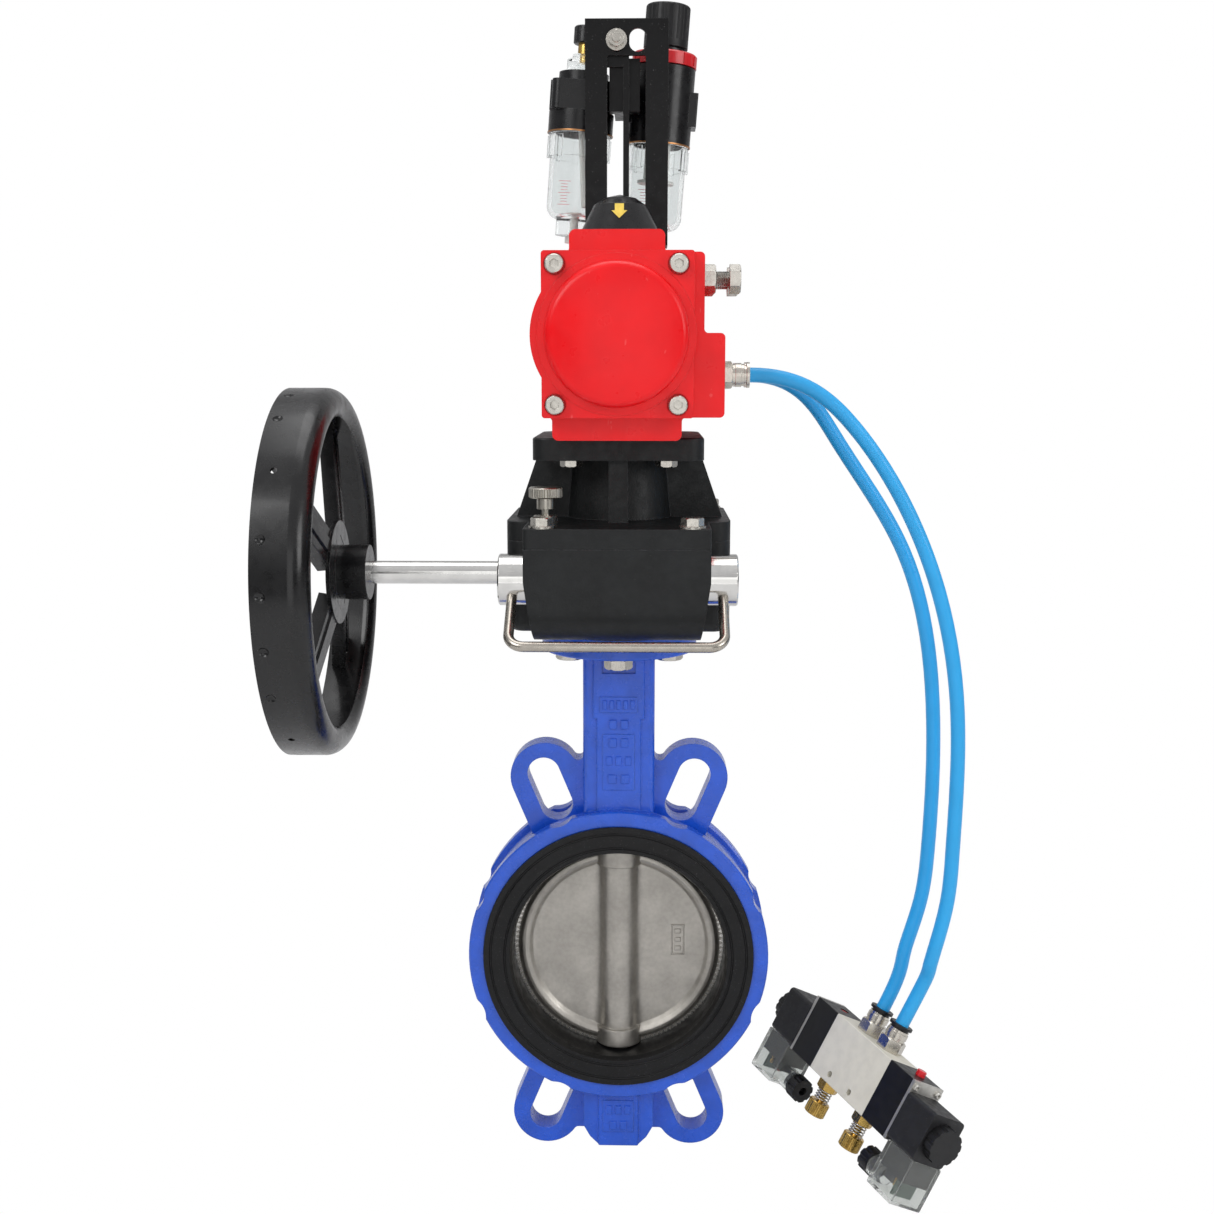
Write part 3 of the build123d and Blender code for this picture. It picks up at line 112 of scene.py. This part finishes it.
class Recipe:
    """A principled material with helpers for the node graph around it."""

    def __init__(self, name, color, rough, metal=0.0, coat=0.0, gloss=0.5):
        self.name = name
        self.material = bpy.data.materials.new(name)
        self.material.use_nodes = True
        self.material.diffuse_color = color
        self.tree = self.material.node_tree
        self.shader = self.tree.nodes["Principled BSDF"]
        self.color = self.value_color(color)
        self.rough = self.value(rough)
        self.normal = None
        for key, number in (("Metallic", metal), ("Coat Weight", coat),
                            ("Specular IOR Level", gloss), ("Coat Roughness", 0.12)):
            self.shader.inputs[key].default_value = number
        self.place = self.add("ShaderNodeTexCoord").outputs["Object"]

    def add(self, kind, **settings):
        node = self.tree.nodes.new(kind)
        for key, value in settings.items():
            setattr(node, key, value)
        return node

    def link(self, source, target):
        self.tree.links.new(source, target)

    def value(self, number):
        """Output of a constant node."""
        node = self.add("ShaderNodeValue")
        node.outputs[0].default_value = number
        return node.outputs[0]

    def value_color(self, color):
        """Output of a constant colour node."""
        node = self.add("ShaderNodeRGB")
        node.outputs[0].default_value = color
        return node.outputs[0]

    def math(self, operation, first, second=0.0):
        """Output of a math node; each side is a number or another output."""
        node = self.add("ShaderNodeMath", operation=operation)
        for slot, item in enumerate((first, second)):
            if isinstance(item, (int, float)):
                node.inputs[slot].default_value = item
            else:
                self.link(item, node.inputs[slot])
        return node.outputs[0]

    def noise(self, size_mm, detail=3.0, stretch=(1, 1, 1), offset=0.0):
        """Noise with features about size_mm wide; offset keeps two noises apart."""
        mapping = self.add("ShaderNodeMapping")
        mapping.inputs["Scale"].default_value = stretch
        mapping.inputs["Location"].default_value = (offset, offset, offset)
        self.link(self.place, mapping.inputs["Vector"])
        node = self.add("ShaderNodeTexNoise")
        node.inputs["Scale"].default_value = 1 / (size_mm * MM)
        node.inputs["Detail"].default_value = detail
        self.link(mapping.outputs[0], node.inputs["Vector"])
        return node.outputs["Fac"]

    def ramp(self, source, low, high, low_value=0.0, high_value=1.0):
        """Smooth step between two levels of the source."""
        node = self.add("ShaderNodeMapRange", interpolation_type="SMOOTHSTEP")
        for key, number in (("From Min", low), ("From Max", high),
                            ("To Min", low_value), ("To Max", high_value)):
            node.inputs[key].default_value = number
        self.link(source, node.inputs["Value"])
        return node.outputs["Result"]

    def mix_color(self, factor, other, blend="MIX"):
        """Lay another colour over the colour so far."""
        node = self.add("ShaderNodeMix", data_type="RGBA", blend_type=blend)
        if isinstance(factor, (int, float)):
            node.inputs[0].default_value = factor
        else:
            self.link(factor, node.inputs[0])
        self.link(self.color, node.inputs[6])
        if isinstance(other, tuple):
            node.inputs[7].default_value = other
        else:
            self.link(other, node.inputs[7])
        self.color = node.outputs[2]
        return self

    def mottle(self, size_mm, amount):
        """Slow change of tone over the surface."""
        tone = self.ramp(self.noise(size_mm, 4), 0.3, 0.7, 1 - amount, 1 + amount)
        node = self.add("ShaderNodeCombineColor")
        for key in ("Red", "Green", "Blue"):
            self.link(tone, node.inputs[key])
        return self.mix_color(1.0, node.outputs[0], "MULTIPLY")

    def uneven_gloss(self, size_mm, amount):
        """Patches that shine a little more or less."""
        change = self.ramp(self.noise(size_mm, 5, offset=3.1), 0.3, 0.7, -amount, amount)
        self.rough = self.math("ADD", self.rough, change)
        return self

    def specks(self, size_mm, cut, color):
        """Small bright or dark dots."""
        mask = self.ramp(self.noise(size_mm, 1, offset=1.7), cut, cut + 0.04)
        return self.mix_color(mask, color)

    def rounded(self, radius_mm):
        """Softened edges, as a casting or moulding has."""
        node = self.add("ShaderNodeBevel", samples=4)
        node.inputs["Radius"].default_value = radius_mm * MM
        if self.normal is not None:
            self.link(self.normal, node.inputs["Normal"])
        self.normal = node.outputs["Normal"]
        return self

    def edge_mask(self, radius_mm):
        """1 on sharp edges, 0 on flats."""
        bevel = self.add("ShaderNodeBevel", samples=4)
        bevel.inputs["Radius"].default_value = radius_mm * MM
        flat = self.add("ShaderNodeNewGeometry")
        dot = self.add("ShaderNodeVectorMath", operation="DOT_PRODUCT")
        self.link(bevel.outputs["Normal"], dot.inputs[0])
        self.link(flat.outputs["Normal"], dot.inputs[1])
        return self.ramp(dot.outputs["Value"], 0.80, 0.97, 1.0, 0.0)

    def painted_edge_highlight(self, radius_mm, color, amount):
        """Painted highlight: a lighter colour along sharp edges, in broken patches."""
        broken = self.ramp(self.noise(1.5, 4, offset=5.3), 0.4, 0.6, 0.2, 1.0)
        mask = self.math("MULTIPLY", self.edge_mask(radius_mm), broken)
        return self.mix_color(self.math("MULTIPLY", mask, amount), color)

    def bump(self, height, depth_mm):
        """Surface relief, added to any relief before it."""
        node = self.add("ShaderNodeBump")
        node.inputs["Distance"].default_value = depth_mm * MM
        self.link(height, node.inputs["Height"])
        if self.normal is not None:
            self.link(self.normal, node.inputs["Normal"])
        self.normal = node.outputs["Normal"]
        return self

    def grain(self, size_mm, depth_mm, detail=3.0, stretch=(1, 1, 1)):
        """Fine relief such as a sand-cast or brushed face has."""
        return self.bump(self.noise(size_mm, detail, stretch, offset=7.7), depth_mm)

    def scratches(self, size_mm, stretch, cut, color, amount):
        """Thin broken lines in one direction."""
        lines = self.ramp(self.noise(size_mm, 2, stretch, offset=9.2), cut, cut + 0.02)
        broken = self.ramp(self.noise(size_mm * 4, 2, offset=2.2), 0.5, 0.6)
        mask = self.math("MULTIPLY", lines, broken)
        return self.mix_color(self.math("MULTIPLY", mask, amount), color)

    def thread(self, axis, pitch_mm, depth_mm):
        """Screw-thread ridges across the given axis."""
        split = self.add("ShaderNodeSeparateXYZ")
        self.link(self.place, split.inputs[0])
        phase = self.math("MULTIPLY", split.outputs[axis], FULL_TURN / (pitch_mm * MM))
        return self.bump(self.math("SINE", phase), depth_mm)

    def clear(self, amount, ior=1.5):
        """Let light through, as clear plastic does."""
        self.shader.inputs["Transmission Weight"].default_value = amount
        self.shader.inputs["IOR"].default_value = ior
        return self

    def done(self):
        """Join the collected colour, roughness and relief to the shader."""
        self.link(self.color, self.shader.inputs["Base Color"])
        self.link(self.rough, self.shader.inputs["Roughness"])
        if self.normal is not None:
            self.link(self.normal, self.shader.inputs["Normal"])
        return self.material


def make_materials():
    """Every finish of the object, by name."""
    # Near-white for the painted edge highlight on the beige coat and for the thin scratch lines
    # on chrome.
    highlight_and_scratch_white = linear(235, 232, 225)
    # The lighter colours laid along sharp edges below are painted highlights.
    recipes = (
        Recipe("blue enamel", linear(26, 84, 202), 0.24, coat=0.35)
            .mottle(18, 0.10).uneven_gloss(9, 0.06).painted_edge_highlight(0.9, linear(90, 140, 235), 0.45)
            .rounded(1.1).grain(9, 0.35, 2).grain(2.2, 0.06),
        Recipe("black rubber", linear(11, 11, 12), 0.40, gloss=0.3)
            .mottle(14, 0.25).uneven_gloss(6, 0.10).specks(0.8, 0.70, linear(60, 60, 62))
            .rounded(0.5).grain(1.2, 0.03),
        Recipe("cast stainless", linear(172, 168, 161), 0.40, metal=0.85)
            .mottle(26, 0.10).mottle(3, 0.05).uneven_gloss(7, 0.08)
            .rounded(1.6).grain(1.1, 0.04).grain(6, 0.08, 2),
        Recipe("machined rim", linear(205, 203, 198), 0.22, metal=1.0)
            .mottle(10, 0.06).grain(0.6, 0.01, 2, (1, 8, 1)),
        Recipe("black casting", linear(19, 21, 22), 0.46, gloss=0.35)
            .mottle(20, 0.22).uneven_gloss(5, 0.08).specks(0.8, 0.765, linear(78, 78, 76))
            .painted_edge_highlight(0.8, linear(100, 102, 104), 0.5)
            .rounded(1.2).grain(1.6, 0.12, 4).grain(8, 0.20, 2),
        Recipe("chrome", linear(216, 215, 212), 0.11, metal=1.0)
            .mottle(9, 0.05).uneven_gloss(4, 0.04)
            .scratches(0.8, (0.05, 1, 1), 0.64, highlight_and_scratch_white, 0.5)
            .rounded(0.4).grain(0.5, 0.004, 2, (12, 1, 1)),
        Recipe("stainless rod", linear(178, 172, 162), 0.27, metal=1.0)
            .mottle(8, 0.06).uneven_gloss(4, 0.05).grain(1.5, 0.004, 2),
        Recipe("turned steel", linear(190, 188, 184), 0.26, metal=1.0)
            .mottle(7, 0.07).uneven_gloss(3, 0.05).rounded(0.3).grain(0.6, 0.01, 2, (1, 1, 8)),
        Recipe("zinc steel", linear(196, 192, 184), 0.26, metal=1.0)
            .mottle(6, 0.08).uneven_gloss(3, 0.06).rounded(0.5).grain(1.4, 0.006),
        Recipe("knurled steel", linear(186, 182, 172), 0.30, metal=1.0)
            .mottle(4, 0.08).rounded(0.3).grain(1.2, 0.006),
        Recipe("threaded steel", linear(190, 187, 180), 0.30, metal=1.0)
            .mottle(4, 0.10).thread(0, 1.5, 0.45),
        Recipe("bronze", linear(190, 150, 95), 0.32, metal=1.0)
            .mottle(8, 0.12).rounded(0.4).grain(0.8, 0.02),
        Recipe("brass", linear(205, 170, 95), 0.26, metal=1.0)
            .mottle(4, 0.12).uneven_gloss(2, 0.06).rounded(0.3).grain(0.7, 0.015),
        Recipe("nickel", linear(205, 200, 190), 0.24, metal=1.0)
            .mottle(5, 0.06).uneven_gloss(2, 0.04).rounded(0.4).grain(0.8, 0.008),
        Recipe("red coat", linear(236, 10, 20), 0.32, coat=0.1, gloss=0.3)
            .mottle(30, 0.05).uneven_gloss(10, 0.05)
            .scratches(0.9, (0.25, 1, 0.06), 0.70, linear(250, 120, 120), 0.30)
            .painted_edge_highlight(0.7, linear(255, 110, 100), 0.35)
            .rounded(0.9).grain(1.0, 0.018, 2).grain(4, 0.03, 2),
        Recipe("black paint", linear(14, 14, 15), 0.26, coat=0.2, gloss=0.4)
            .mottle(20, 0.2).uneven_gloss(9, 0.05).painted_edge_highlight(0.6, linear(90, 90, 92), 0.35)
            .rounded(0.6).grain(1.6, 0.01, 2),
        Recipe("black sheet", linear(9, 9, 10), 0.34, gloss=0.25)
            .mottle(20, 0.2).uneven_gloss(6, 0.08).specks(0.9, 0.74, linear(90, 90, 90))
            .painted_edge_highlight(0.4, linear(120, 120, 120), 0.5).rounded(0.4).grain(1.5, 0.02),
        Recipe("black plastic", linear(16, 16, 18), 0.40, gloss=0.4)
            .mottle(10, 0.15).uneven_gloss(5, 0.06).rounded(0.5).grain(0.6, 0.02),
        Recipe("black satin", linear(14, 14, 16), 0.30, coat=0.1, gloss=0.4)
            .mottle(12, 0.15).uneven_gloss(6, 0.06).painted_edge_highlight(0.5, linear(80, 80, 82), 0.3)
            .rounded(0.6).grain(0.9, 0.02),
        Recipe("coil resin", linear(34, 34, 36), 0.46, gloss=0.35)
            .mottle(8, 0.14).uneven_gloss(4, 0.08).specks(0.7, 0.72, linear(90, 90, 90))
            .rounded(0.7).grain(0.9, 0.03),
        Recipe("red plastic", linear(214, 26, 36), 0.28, coat=0.2)
            .mottle(6, 0.08).rounded(0.4).grain(0.8, 0.01),
        Recipe("yellow plastic", linear(235, 210, 90), 0.40)
            .mottle(4, 0.08).grain(0.7, 0.01),
        Recipe("white plastic", linear(232, 231, 226), 0.42)
            .mottle(5, 0.05).rounded(0.3).grain(0.7, 0.02),
        Recipe("beige coat", linear(222, 218, 204), 0.42)
            .mottle(9, 0.05).uneven_gloss(4, 0.06).painted_edge_highlight(0.5, highlight_and_scratch_white, 0.5)
            .rounded(0.5).grain(0.7, 0.02),
        Recipe("light metal", linear(198, 196, 190), 0.36, metal=0.8)
            .mottle(7, 0.08).rounded(0.3).grain(0.7, 0.02, 2, (1, 6, 1)),
        Recipe("blue tube", linear(40, 168, 234), 0.38)
            .mottle(24, 0.03).uneven_gloss(9, 0.03),
        Recipe("clear bowl", linear(238, 241, 241), 0.06)
            .uneven_gloss(9, 0.02).rounded(0.5).grain(9, 0.03, 2).clear(0.95, 1.28),
        Recipe("clear housing", linear(226, 228, 226), 0.10)
            .uneven_gloss(5, 0.03).rounded(0.5).grain(5, 0.03, 2).clear(0.92, 1.25),
        Recipe("copper ring", linear(196, 140, 92), 0.30, metal=1.0)
            .mottle(3, 0.12).grain(0.7, 0.01),
        Recipe("scale ink", linear(214, 80, 92), 0.5).mottle(2, 0.15),
        Recipe("board", linear(70, 92, 80), 0.45).mottle(3, 0.2).grain(1, 0.02),
        Recipe("lamp", linear(205, 60, 50), 0.2).mottle(2, 0.1).clear(0.4),
    )
    return {recipe.name: recipe.done() for recipe in recipes}


LOOK = make_materials()


def paint(node, default, *rules):
    """Give a CAD node its material, and other materials where a rule holds at a face's centre."""
    mesh = nodes[node].data
    mesh.materials.clear()
    for name in (default, *[rule[0] for rule in rules]):
        mesh.materials.append(LOOK[name])
    for face in mesh.polygons:
        face.material_index = 0
        for index, (_, test) in enumerate(rules):
            if test(face.center):
                face.material_index = index + 1


def paint_cad():
    """Finish of every CAD node."""
    plain = {
        "blue enamel": ("valve_body",),
        "black rubber": ("seat_liner", "shaft_seals"),
        "turned steel": ("valve_stems", "drive_shaft", "pinion", "stop_cam", "plunger_spring",
                         "regulator_spring", "exhaust_springs"),
        "bronze": ("shaft_bushes", "worm_wheel"),
        "black casting": ("gearbox_housing", "gearbox_cover"),
        "zinc steel": ("gearbox_bolts", "cap_screws", "bracket_screws", "plunger_body"),
        "chrome": ("worm_shaft", "eccentric_sleeves"),
        "stainless rod": ("clutch_bail",),
        "knurled steel": ("plunger_pin",),
        "red coat": ("actuator_body", "front_cap", "rear_cap"),
        "light metal": ("front_piston", "rear_piston", "spool", "end_plates"),
        "nickel": ("push_fittings",),
        "black plastic": ("plug_inserts", "coil_and_gland_nuts", "regulator_knob", "end_blocks"),
        "black satin": ("indicator_dome", "regulator_body", "lubricator_body"),
        "yellow plastic": ("indicator_arrow",),
        "black sheet": ("frl_bracket", "hanger"),
        "blue tube": ("air_tubes",),
        "red plastic": ("lock_ring", "right_override", "left_override"),
        "clear bowl": ("filter_bowl", "lubricator_bowl", "sight_dome"),
        "clear housing": ("plug_housings",),
        "white plastic": ("filter_element", "siphon_tube"),
        "beige coat": ("air_valve_body",),
        "coil resin": ("coils",),
        "brass": ("exhaust_bodies", "left_throttle", "right_throttle"),
    }
    for name, members in plain.items():
        for node in members:
            paint(node, name)
    paint_disc()
    paint_handwheel()
    paint_stop_bolts()
    paint_release_rings()
    paint_drip_screw()


def paint_disc():
    """Polished sealing rim round the cast disc."""
    rim_start = 73.5 * MM
    rim_half = 4 * MM
    paint("disc", "cast stainless",
          ("machined rim", lambda c: c.length > rim_start and abs(c.y) < rim_half))


def paint_handwheel():
    """Bare ends of the cross pin in the painted hub."""
    hub = Vector(joint("handwheel_spin")["pos_m"])
    pin_x, pin_radius = -170 * MM, 2.1 * MM
    pin_ends = (16.5 * MM, 17.5 * MM)

    def on_pin_end(c):
        away = math.hypot(c.y - hub.y, c.z - hub.z)
        return pin_ends[0] < away < pin_ends[1] and abs(c.x - pin_x) < pin_radius

    paint("handwheel", "black paint", ("zinc steel", on_pin_end))


def paint_stop_bolts():
    """Thread on the part of each stop bolt between its head and its lock nut."""
    low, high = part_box("stop_bolts")
    middle_z = (low.z + high.z) / 2
    washer_radius, thread_radius, head_long = 10 * MM, 5.2 * MM, 7.5 * MM
    half_span = (high.y - low.y) / 2 - washer_radius

    def on_thread(c):
        away = math.hypot(abs(c.y) - half_span, c.z - middle_z)
        return away < thread_radius and c.x < high.x - head_long

    paint("stop_bolts", "zinc steel", ("threaded steel", on_thread))


def paint_release_rings():
    """Bare metal rings at the actuator, black ones at the air valve below it."""
    above_valve = 200 * MM
    between = joint("left_throttle_turn")["pos_m"][2] + above_valve
    paint("release_rings", "black plastic", ("nickel", lambda c: c.z > between))


def paint_drip_screw():
    """Black cap on top of the brass screw."""
    cap_height = 37.9 * MM
    to_unit = UNIT.inverted()
    paint("drip_screw", "brass", ("black satin", lambda c: (to_unit @ c).z > cap_height))


# ------------------------------------------------------------------ small pieces
def quad_strip(mesh, first, second):
    """Faces between two closed loops of the same number of points."""
    for low in range(len(first)):
        high = (low + 1) % len(first)
        mesh.faces.new((first[low], second[low], second[high], first[high]))


def piece(name, mesh, material, body, place=Matrix.Identity(4), bevel_mm=0.0):
    """Turn a bmesh into a named object that rides on a CAD body."""
    data = bpy.data.meshes.new(name)
    bmesh.ops.recalc_face_normals(mesh, faces=mesh.faces)
    mesh.to_mesh(data)
    mesh.free()
    data.transform(place)
    made = bpy.data.objects.new(name, data)
    bpy.context.scene.collection.objects.link(made)
    data.materials.append(LOOK[material])
    if bevel_mm:
        round_off = made.modifiers.new("rounded edges", "BEVEL")
        round_off.width = bevel_mm * MM
        round_off.segments = 3
        round_off.limit_method = "ANGLE"
        round_off.angle_limit = math.radians(40)
    data.set_sharp_from_angle(angle=math.radians(50))
    data.polygons.foreach_set("use_smooth", [True] * len(data.polygons))
    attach(made, body)
    return made


def add_block(mesh, centre, size, place=Matrix.Identity(4)):
    """Rectangular bar in millimetres added to a bmesh."""
    scale = Matrix.Diagonal((*[s * MM for s in size], 1))
    move = Matrix.Translation([c * MM for c in centre])
    bmesh.ops.create_cube(mesh, size=1, matrix=place @ move @ scale)


def add_turned(mesh, profile, steps=64, place=Matrix.Identity(4)):
    """Closed (radius, height) profile in millimetres turned about Z."""
    rings = []
    for step in range(steps):
        angle = FULL_TURN * step / steps
        across, along = math.cos(angle) * MM, math.sin(angle) * MM
        rings.append([mesh.verts.new(place @ Vector((r * across, r * along, z * MM)))
                      for r, z in profile])
    for step, ring in enumerate(rings):
        quad_strip(mesh, ring, rings[(step + 1) % steps])


def copper_rings():
    """Thin metal rings between each bowl's collar and its head."""
    section = ((-0.3, -0.6), (0.35, -0.45), (0.45, 0), (0.35, 0.45), (-0.3, 0.6))
    mesh = bmesh.new()
    for side, radius, height in ((1, 22.4, -27.4), (-1, 23.0, -23.4)):
        profile = [(radius + out, height + up) for out, up in section]
        add_turned(mesh, profile, place=Matrix.Translation((side * UNIT_HALF, 0, 0)))
    piece("bowl_trim_rings", mesh, "copper ring", "frame", UNIT)


def bowl_scales():
    """Printed level marks on the front of each clear bowl, plain strokes only."""
    front_deg = -112
    mark_count, long_every = 9, 4
    long_deg, short_deg = 26, 14
    mesh = bmesh.new()
    for side, top, bottom in ((1, -60, -76), (-1, -58, -74)):
        for mark in range(mark_count):
            height = top + (bottom - top) * mark / (mark_count - 1)
            span = long_deg if mark % long_every == 0 else short_deg
            for middle in (front_deg - span / 4, front_deg + span / 4):
                add_arc_stroke(mesh, side, height, middle, span / 2)
    piece("bowl_level_marks", mesh, "scale ink", "frame", UNIT)


def add_arc_stroke(mesh, side, height, middle_deg, span_deg):
    """Thin closed bar curved round the outside of a bowl's wall."""
    inner, outer, half_mm = 20.42, 20.55, 0.14
    steps = 6
    rows = []
    for step in range(steps + 1):
        angle = math.radians(middle_deg + span_deg * (step / steps - 0.5))
        across, along = math.cos(angle) * MM, math.sin(angle) * MM
        corners = ((inner, -half_mm), (outer, -half_mm), (outer, half_mm), (inner, half_mm))
        rows.append([mesh.verts.new((side * UNIT_HALF + radius * across, radius * along,
                                     (height + up) * MM)) for radius, up in corners])
    for first, second in zip(rows, rows[1:]):
        quad_strip(mesh, first, second)
    mesh.faces.new(rows[0])
    mesh.faces.new(rows[-1][::-1])


def badge_outline(mesh, width, height, thick, rise, place):
    """Raised outline of a blank badge, built as a closed loop of bars."""
    inner_width = width - 2 * thick
    for sign in (-1, 1):
        add_block(mesh, (sign * (width - thick) / 2, 0, 0), (thick, rise, height), place)
        add_block(mesh, (0, 0, sign * (height - thick) / 2), (inner_width, rise, thick), place)


def disc_badge():
    """Blank cast badge on the right half of the disc: an outline round three plain bars."""
    mesh = bmesh.new()
    place = Matrix.Translation((42.5 * MM, -3.7 * MM, 4 * MM))
    bar_size, bar_pitch = (4.6, 1.0, 3.4), 6.4
    badge_outline(mesh, width=9.5, height=23, thick=1.1, rise=1.2, place=place)
    for step in (-1, 0, 1):
        add_block(mesh, (0, 0, step * bar_pitch), bar_size, place)
    piece("disc_badge", mesh, "cast stainless", "stem", bevel_mm=0.3)


def cast_marks():
    """Blank raised bars in the sunk panels of the neck and the foot."""
    panel_front, bar_thick, bar_tall = -21.2, 1.7, 6.4
    bar_share = 0.66
    rows_height_width_count = ((181, 24, 5), (167, 16, 2), (154, 16, 2), (141, 20, 3),
                               (128, 18, 2), (-119, 20, 3), (-131, 15, 2))
    mesh = bmesh.new()
    for height, width, count in rows_height_width_count:
        step = width / count
        for index in range(count):
            x = -width / 2 + step * (index + 0.5)
            add_block(mesh, (x, panel_front, height), (step * bar_share, bar_thick, bar_tall))
    piece("cast_bars", mesh, "blue enamel", "frame", bevel_mm=0.5)


def plug_parts():
    """Small board, terminals and lamp seen through each clear plug housing."""
    board_size, pin_size, lamp_size = (1.2, 18, 11), (1.4, 2.2, 6), (2.4, 2.4, 2.4)
    pin_pitch = 6
    board, pins, lamps = bmesh.new(), bmesh.new(), bmesh.new()
    for side in (-1, 1):
        add_block(board, (side * 85.5, 0, -43.5), board_size)
        for step in (-1, 0, 1):
            add_block(pins, (side * 82.5, step * pin_pitch, -41), pin_size)
        add_block(lamps, (side * 83.6, 4, -47.5), lamp_size)
    piece("plug_boards", board, "board", "frame", VALVE, 0.2)
    piece("plug_terminals", pins, "brass", "frame", VALVE, 0.2)
    piece("plug_lamps", lamps, "lamp", "frame", VALVE, 0.9)


# ------------------------------------------------------------------ stage
def floor_set():
    """Pale floor that curves up into a back wall."""
    gap = 4 * MM
    floor_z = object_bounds()[0][2] - gap
    front, width, depth, tall, bend = -4.0, 6.0, 3.2, 4.0, 1.0
    steps = 12
    mesh = bmesh.new()
    outline = [(front, 0.0)]
    for step in range(steps + 1):
        angle = math.pi / 2 * step / steps
        outline.append((depth - bend + bend * math.sin(angle), bend - bend * math.cos(angle)))
    outline.append((depth, tall))
    rows = [[mesh.verts.new((x, y, floor_z + z)) for x in (-width, width)] for y, z in outline]
    for first, second in zip(rows, rows[1:]):
        mesh.faces.new((first[0], first[1], second[1], second[0]))
    data = bpy.data.meshes.new("studio_floor")
    mesh.to_mesh(data)
    mesh.free()
    data.polygons.foreach_set("use_smooth", [True] * len(data.polygons))
    floor = bpy.data.objects.new("studio_floor", data)
    bpy.context.scene.collection.objects.link(floor)
    paper = Recipe("studio paper", (0.80, 0.80, 0.80, 1), 0.9).mottle(400, 0.01).done()
    white_when_seen(paper.node_tree, "Principled BSDF", "Material Output")
    data.materials.append(paper)


def world_set():
    """Soft surround that looks plain white to the camera."""
    world = bpy.data.worlds.new("studio")
    bpy.context.scene.world = world
    world.use_nodes = True
    shade_surroundings(world.node_tree, world.node_tree.nodes["Background"])
    white_when_seen(world.node_tree, "Background", "World Output")


def lights_set():
    """Four large soft lights: name, place, target, side in metres and power in watts."""
    lights = (
        ("key softbox", (-1.3, -1.5, 1.6), (0, 0, 0.25), 1.1, 17),
        ("right softbox", (1.6, -1.1, 0.9), (0, 0, 0.2), 0.9, 9),
        ("front fill", (0.1, -2.4, 0.5), (0, 0, 0.2), 1.2, 5),
        ("top softbox", (0.0, 0.2, 2.0), (0, 0, 0.3), 1.2, 9),
    )
    for name, spot, target, size, watts in lights:
        lamp = bpy.data.lights.new(name, "AREA")
        lamp.shape = "SQUARE"
        lamp.size = size
        lamp.energy = watts
        holder = bpy.data.objects.new(name, lamp)
        holder.location = spot
        aim = Vector(target) - Vector(spot)
        holder.rotation_euler = aim.to_track_quat("-Z", "Y").to_euler()
        bpy.context.scene.collection.objects.link(holder)


def shade_surroundings(tree, sky):
    """Brighter overhead, dark near the horizon, so that bare metal shows contrast."""
    place = tree.nodes.new("ShaderNodeTexCoord")
    split = tree.nodes.new("ShaderNodeSeparateXYZ")
    tree.links.new(place.outputs["Generated"], split.inputs[0])
    ramp = tree.nodes.new("ShaderNodeValToRGB")
    stops = ((0.0, 0.45), (0.47, 0.16), (0.56, 0.12), (0.68, 0.75), (1.0, 0.95))
    cool = 1.02
    strength = 0.8
    while len(ramp.color_ramp.elements) < len(stops):
        ramp.color_ramp.elements.new(0.5)
    for element, (spot, level) in zip(ramp.color_ramp.elements, stops):
        element.position = spot
        element.color = (level, level, level * cool, 1)
    half = tree.nodes.new("ShaderNodeMath")
    half.operation = "MULTIPLY_ADD"
    for slot in (1, 2):
        half.inputs[slot].default_value = 0.5
    tree.links.new(split.outputs["Z"], half.inputs[0])
    tree.links.new(half.outputs[0], ramp.inputs[0])
    tree.links.new(ramp.outputs[0], sky.inputs["Color"])
    sky.inputs["Strength"].default_value = strength


def white_when_seen(tree, shader, output):
    """Plain white where the camera looks at it, straight or through clear plastic."""
    ray = tree.nodes.new("ShaderNodeLightPath")
    seen = tree.nodes.new("ShaderNodeMath")
    seen.operation = "MAXIMUM"
    tree.links.new(ray.outputs["Is Camera Ray"], seen.inputs[0])
    tree.links.new(ray.outputs["Is Transmission Ray"], seen.inputs[1])
    white = tree.nodes.new("ShaderNodeEmission")
    mix = tree.nodes.new("ShaderNodeMixShader")
    tree.links.new(seen.outputs[0], mix.inputs[0])
    tree.links.new(tree.nodes[shader].outputs[0], mix.inputs[1])
    tree.links.new(white.outputs[0], mix.inputs[2])
    tree.links.new(mix.outputs[0], tree.nodes[output].inputs["Surface"])


def camera_set():
    """Camera in front of the gearbox, looking slightly down."""
    spot = (0.0185, -1.0372, 0.4107)
    tilt, turn = math.radians(81), math.radians(1.5)
    data = bpy.data.cameras.new("camera")
    data.sensor_width = 36
    data.lens = 44.48
    data.clip_end = 50
    holder = bpy.data.objects.new("camera", data)
    aim = Matrix.Rotation(turn, 4, "Z") @ Matrix.Rotation(tilt, 4, "X")
    holder.matrix_world = Matrix.Translation(spot) @ aim
    bpy.context.scene.collection.objects.link(holder)
    bpy.context.scene.camera = holder


paint_cad()
copper_rings()
bowl_scales()
disc_badge()
cast_marks()
plug_parts()
floor_set()
world_set()
lights_set()
bpy.context.scene.view_settings.view_transform = "Standard"
camera_set()
